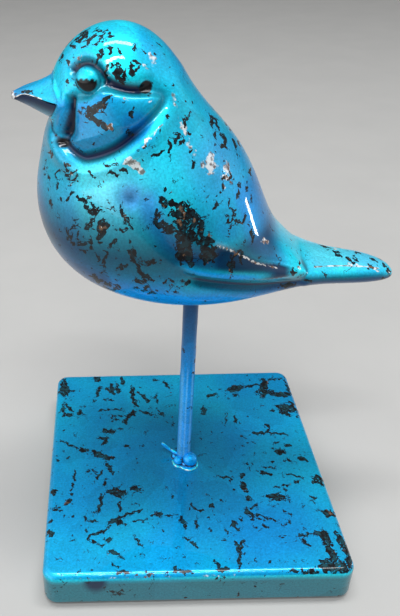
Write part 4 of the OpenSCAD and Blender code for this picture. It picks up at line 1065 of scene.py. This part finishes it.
    (1.2, 1.1): [(-6.6, 19.5, 2.7, -11), (-1, 8.5, 2.8, -77)],
    (1.4, 1.1): [(-7, 12.2, 2.9, -77)],
    (1.6, 1.05): [(-6.5, 15.2, 2.7, -18)],
})
left_bare_and_glints = single_marks({
    (0.3, 0.8): [(4.3, 26.6, 1.3, 82), (16.9, 11.4, 1.4, -14)],
    (0.3, 0.85): [(-15, 47.1, 0.8, 44)],
    (0.3, 0.9): [(-16.4, 36.7, 1.5, 36), (-16.3, 37.2, 2, 44)],
    (0.3, 0.95): [(-13.5, 40, 2, 50)],
    (0.4, 0.9): [(-21.4, 47.6, 1.6, -8), (55.8, 3.3, 1.7, -21)],
    (0.5, 0.6): [(-26.6, 46.8, 1.6, 49)],
    (0.5, 0.7): [(-25.8, 55.4, 2.7, -82), (-35, 30.5, 1.1, -35)],
    (0.5, 0.8): [(0.8, 29.5, 2.3, -2), (-22.3, 19.2, 0.6, -70), (-16.6, 55.8, 1.1, -38),
        (-35.9, 27.9, 0.7, -63), (-16.6, 55.8, 1.4, -42)],
    (0.5, 0.85): [(-32.8, 59, 1.7, 0)],
    (0.5, 0.9): [(-5.9, 39.8, 2.7, -71), (-3.6, 16.9, 1, -69), (-7.4, 19.8, 1.4, -34), (48.4, 4.8, 2.1, -9),
        (17.3, 12.2, 1.8, -10)],
    (0.5, 1): [(28.9, 4.3, 0.7, -37)],
    (0.6, 0.75): [(-3.7, 34.5, 1.2, -49)],
    (0.6, 0.8): [(0.8, 34.6, 1.2, -26), (-5.2, 36.5, 1.9, -56), (-8.9, 47.8, 2.4, -70),
        (-7.3, 42.1, 2.6, -76)],
    (0.6, 0.85): [(-35.1, 58.6, 1.1, 27)],
    (0.6, 0.95): [(0.8, 29.7, 1.3, -22)],
    (0.6, 1): [(-25.2, 40.6, 1.3, -82), (4.5, 28.6, 1.8, -1)],
    (0.7, 0.9): [(-28.2, 16.4, 1.5, -60)],
    (0.7, 1): [(-8.4, 17.1, 1.4, -17), (5.2, 31.5, 2.7, -75)],
    (0.7, 1.3): [(-20.8, 32.2, 2, 18)],
    (0.8, 0.75): [(-14.4, 57.3, 2, -64)],
    (0.8, 0.8): [(-28, 16, 1.4, -58)],
    (0.8, 0.95): [(-1.2, 31.8, 2, -84)],
    (0.9, 1): [(5.5, 31.1, 2.5, -74)],
    (0.9, 1.3): [(-18.8, 31, 2.2, -44)],
    (1, 0.85): [(-14.9, 58.6, 1.6, -1)],
    (1, 0.95): [(0.7, 32.6, 2.1, -70)],
    (1.4, 1): [(0.1, 31.6, 2.8, -32)],
})
body_foil = torn_foil("body foil")
left_shell = shell_half("body_left", -1, left_marks, left_bare_and_glints)
dress(left_shell, "left_shell", body_foil)


# Right body shell
# The left shell's mirror image, in the same foil.
# The photo doesn't show this side: it has the left side's marks, strewn otherwise, and a tail of its own.
right_tail_marks = [
    (42.2, 6, 1.6, 0.5, 19, 1), (47.5, 3.8, 2.3, 0.5, 1, 1), (45.6, 7.8, 1.2, 0.4, 9, 1),
    (52.3, 6.3, 0.9, 0.4, -21, 1), (59.9, 4.5, 0.7, 0.5, 27, 1), (55, 2, 2, 0.5, -10, 0.95),
    (36, 3, 1.5, 0.4, 30, 0.9),
]
# painted highlights along the tail's top, drawn as bare metal
right_tail_glints = [
    (45.7, 6.3, 1.9, 0.4, 6, 0.85), (55.9, 4.4, 2.2, 0.4, -6, 0.9), (59.4, 4.2, 1.9, 0.4, 0, 0.9),
]
tail_from = 26


def other_side(marks):
    """The same kind of marks strewn otherwise, short of the tail."""
    return [
        (x + 4 * math.sin(z / 6), z + 3 * math.cos(x / 7), long, wide, -turn, s)
        for x, z, long, wide, turn, s in marks
        if x < tail_from
    ]


right_marks = other_side(left_marks) + right_tail_marks
right_bare_and_glints = other_side(left_bare_and_glints) + right_tail_glints
right_shell = shell_half("body_right", 1, right_marks, right_bare_and_glints)
dress(right_shell, "right_shell", body_foil)


# Beak
# Solid beak, upper half over lower with a step at the mouth, welded on the front of the head.
# The edge of its mouth and its tip are rubbed to bare metal.
beak_length, beak_lift, beak_round, beak_hook = 10.25, 0.4, 0.5, 0.5
beak_tip_h, beak_tip_w = 2.4, 1.6
mouth_at, mouth_ledge, mouth_rise, rise_lag = 84.0, 0.7, 1.0, 1.8
ridge_sag, sag_lead = 1.1, 0.45
beak_rings = 60
half_turns = np.concatenate([
    np.linspace(0, mouth_at - 5, 32), mouth_at + np.array([-3, -1.8, -0.9, -0.3, 0.2, 0.7, 1.2, 2, 3.5, 6]),
    np.linspace(mouth_at + 9, 180, 26),
])
beak_turns = np.radians(np.concatenate([half_turns, 360 - half_turns[-2:0:-1]]))


def beak_back(r, t):
    """Points on the head under the beak's back, a little off its face."""
    c, s = np.cos(t), np.sin(t)
    u = beak_u - r * np.where(c > 0, beak_up, beak_down) * c * np.abs(c) ** 0.35
    a = r * beak_side * s * np.abs(s) ** 0.35
    side = np.where(a < 0, -1.0, 1.0)[:, None] * (0, 1, 0) + (1, 0, 1)
    return body_face(u, np.abs(a))[0] * side + 0.1 * body_out(u, np.abs(a)) * side


off_mouth = np.degrees(np.minimum(beak_turns, 2 * np.pi - beak_turns)) - mouth_at
lower = ramp(off_mouth / 1.2)
share = np.where(off_mouth < 0, 1 + off_mouth / mouth_at, 1 - off_mouth / (180 - mouth_at))
beak_root = beak_back(np.zeros(1), np.zeros(1))[0]
beak_half_w = beak_back(np.ones(1), np.radians([mouth_at]))[0, 1]
beak_seat = beak_back(1 - lower * mouth_ledge / beak_half_w, beak_turns)
beak_tip = beak_root + (-beak_length, 0, beak_lift)
beak_end = beak_tip + np.column_stack([
    beak_round + beak_hook * lower, beak_tip_w / 2 * np.sin(beak_turns), beak_tip_h / 2 * np.cos(beak_turns),
])
plain = np.zeros(len(beak_turns))
beak_rows = [np.repeat(beak_root[None] + (1.5, 0, 0), len(plain), 0)]
beak_marks = {mark: [plain] for mark in ("bare", "torn", "groove", "ink", "deep")}
edge = bell(off_mouth + 1.2, 2.2)
for t in np.concatenate([np.linspace(0, 1, beak_rings), 1 + 0.05 * np.arange(1, 9)]):
    way = min(t, 1.0)
    row = beak_seat + way * (beak_end - beak_seat)
    row[:, 2] += share * mouth_rise * math.sin(math.pi * way**rise_lag)
    row[:, 2] -= (1 - lower) * (1 - share) * ridge_sag * math.sin(math.pi * way**sag_lead)
    # the upper half's edge is lipped, the lower half is drawn in under it, and the tip hooks down
    row[:, 1] *= 1 + 0.02 * edge - 0.05 * bell(off_mouth - 3, 3) * ramp((1 - way) / 0.3)
    row[:, 2] -= 0.9 * ramp((way - 0.72) / 0.28) * (1 - lower) * share**2
    if t > 1:
        # round end
        turn = (t - 1) / 0.4 * math.pi / 2
        heart = beak_tip + (beak_round, 0, -0.2)
        row = heart + (row - heart) * math.cos(turn) - (beak_round * math.sin(turn), 0, 0)
    beak_rows.append(row)
    worn = bell(off_mouth + 3, 3.5 + 8 * way) * ramp((way - 0.1) / 0.3)
    worn += ramp((way - 0.9) / 0.1) * (1 - lower)
    beak_marks["bare"].append(limit(worn) * (1 - lower))
    beak_marks["torn"].append(0.85 * bell(off_mouth + 22, 14) * bell(way - 0.66, 0.22))
    # painted shade makes the lower half navy, less so far from the mouth near the root; the upper half is a
    # little darker toward the tip
    under_side_shade = lower * (0.98 - 0.45 * ramp((off_mouth - 25) / 40) * (1 - way))
    beak_marks["groove"].append(limit(under_side_shade + (0.10 + 0.22 * way) * (1 - lower)))
    beak_marks["deep"].append(0.25 + 0.3 * way + plain)
    # painted shadow: black on the lower half just under the mouth, most near the root
    beak_marks["ink"].append(0.7 * lower * bell(off_mouth - 4, 6) * (0.4 + 0.6 * bell(way - 0.15, 0.2)))
beak_points = np.concatenate(beak_rows) + (0, 0, bird_z)
beak_faces = ring_faces(len(beak_rows), len(beak_turns), flip=True)
beak_paint = {mark: np.concatenate(rows) for mark, rows in beak_marks.items()}
beak = make_piece("beak_solid", beak_points, beak_faces, sharp=50, **beak_paint)
merge = bmesh.new()
merge.from_mesh(beak.data)
bmesh.ops.remove_doubles(merge, verts=merge.verts, dist=1e-7)
bmesh.ops.recalc_face_normals(merge, faces=merge.faces)
merge.to_mesh(beak.data)
merge.free()
dress(beak, "beak", torn_foil("beak foil", 0.6, 90.0))


# Belly weld
# Weld fillet round the rod where it enters the belly, its upper toe lying on the pressed belly.
# Foiled and lacquered over with the rest.
belly_gap = 0.05


def belly_height(x, y):
    """Height of the body's underside over a place near the rod."""
    u, a = np.full(x.shape, 8.5), np.full(x.shape, 0.2)
    for _ in range(12):
        p = body_skin(u, a)
        du = (body_skin(u + 1e-3, a) - p) / 1e-3
        da = (body_skin(u, a + 1e-3) - p) / 1e-3
        ex, ey = x - p[..., 0], np.abs(y) - p[..., 1]
        det = du[..., 0] * da[..., 1] - du[..., 1] * da[..., 0]
        u = u + np.clip((ex * da[..., 1] - ey * da[..., 0]) / det, -0.5, 0.5)
        a = a + np.clip((ey * du[..., 0] - ex * du[..., 1]) / det, -0.3, 0.3)
    return body_skin(u, a)[..., 2] + bird_z


belly_wave = 1 + 0.14 * np.sin(weld_turn * 10 + np.sin(weld_turn * 3))
belly_points, belly_faces = weld_fillet(
    belly_wave, 0.0, lambda x, y, rise: belly_height(x, y) + belly_gap - rise, sink=0.3, flip=True,
)
belly_weld = make_piece("weld_at_belly", belly_points, belly_faces, groove=np.full(len(belly_points), 0.35))
dress(belly_weld, "belly_weld", torn_foil("belly weld foil", 0.3, 75.0))


# Floor, light and camera
# Plain pale table, a broad soft light, two tubes overhead, a small panel at the right, three pale screens.
# The camera stands a little above the bird's head and looks down on it from its left side.
bpy.ops.mesh.primitive_plane_add(size=8)
floor = bpy.context.object
floor.name = "floor"
floor_finish, floor_tree, floor_place = new_finish("pale table")
floor_tone = speckle(floor_tree, floor_place, 0.02, 4.0)
floor_colour = blend(floor_tree, floor_tone, (0.42, 0.42, 0.415, 1), (0.47, 0.47, 0.46, 1))
surface(floor_tree, {"Base Color": floor_colour, "Roughness": 0.75, "Specular IOR Level": 0.2})
floor.data.materials.append(floor_finish)

world = bpy.data.worlds.new("studio")
bpy.context.scene.world = world
world.use_nodes = True
sky = world.node_tree
sky.nodes.clear()
ray = put(sky, "LightPath")
seen = sums(sky, "MAXIMUM", ray.outputs["Is Glossy Ray"], ray.outputs["Is Transmission Ray"])
sight = put(sky, "TexCoord").outputs["Generated"]
backdrop = between(sky, put(sky, "SeparateXYZ", {0: sight}).outputs[2], 0.5, 0.95, 0.07, 0.35)
# screens: where each stands, how wide it spreads and how bright it is
screens = [
    ((-0.85, -0.50, 0.10), 0.60, 2.2), ((0.86, 0.0, 0.45), 0.70, 0.5), ((-0.75, 0.25, 0.60), 0.75, 0.8),
]
for screen, spread, bright in screens:
    facing = put(sky, "VectorMath", {0: sight, 1: Vector(screen).normalized()}, operation="DOT_PRODUCT")
    facing = facing.outputs["Value"]
    backdrop = sums(sky, "ADD", backdrop, between(sky, facing, spread, 1.0, 0.0, bright))
room_light, wall_tone = 0.35, 0.42
level = put(sky, "Mix", {"Factor": seen, 2: room_light, 3: backdrop}, data_type="FLOAT").outputs[0]
from_camera = ray.outputs["Is Camera Ray"]
level = put(sky, "Mix", {"Factor": from_camera, 2: level, 3: wall_tone}, data_type="FLOAT").outputs[0]
glow = put(sky, "Background", {"Color": (1, 1, 1, 1), "Strength": level})
put(sky, "OutputWorld", {"Surface": glow.outputs[0]})


def soft_light(name, at, aim, wide, tall, watts):
    """A lit panel at one place, turned to face another."""
    lamp = bpy.data.lights.new(name, "AREA")
    lamp.shape = "RECTANGLE"
    lamp.size, lamp.size_y, lamp.energy = wide, tall, watts
    holder = bpy.data.objects.new(name, lamp)
    back = (Vector(at) - Vector(aim)).normalized()
    across = (Vector((1, 0, 0)) if abs(back.x) < 0.7 else Vector((0, 0, 1))).cross(back).normalized()
    turn = Matrix((across.cross(back), across, back)).transposed()
    holder.matrix_world = Matrix.Translation(at) @ turn.to_4x4()
    bpy.context.scene.collection.objects.link(holder)
    return holder


middle = (0.0, 0.0, 0.11)
soft_light("broad light", (-0.35, -1.0, 1.15), middle, 1.2, 1.2, 8.6).visible_glossy = False
soft_light("tube overhead", (0.05, 0.01, 1.30), middle, 0.90, 0.17, 11)
soft_light("tube in front", (-0.05, -0.54, 1.20), middle, 0.65, 0.042, 5)
soft_light("panel at the right", (1.20, 0.29, 0.09), middle, 0.13, 0.08, 1.0)

camera = bpy.data.cameras.new("camera")
# worked out from the photo, in its pixels: size, focal length and the point that the camera faces
photo_w, photo_h, focal, facing_x, facing_y = 400, 616, 686, 109, 267
camera.sensor_width = 36
camera.lens = focal / photo_h * camera.sensor_width
camera.shift_x = (photo_w / 2 - facing_x) / photo_h
camera.shift_y = (facing_y - photo_h / 2) / photo_h
view = bpy.data.objects.new("camera", camera)
camera_at, pitch, roll = (-0.0265, -0.1872, 0.2077), math.radians(30.3), math.radians(-1.24)
ahead = Vector((0, math.cos(pitch), -math.sin(pitch)))
right = Vector((1, 0, 0))
above = right.cross(ahead)
c, s = math.cos(roll), math.sin(roll)
turn = Matrix((c * right + s * above, c * above - s * right, -ahead)).transposed()
view.matrix_world = Matrix.Translation(camera_at) @ turn.to_4x4()
camera.clip_start = 0.01
bpy.context.scene.collection.objects.link(view)
bpy.context.scene.camera = view
bpy.context.scene.view_settings.view_transform = "Standard"
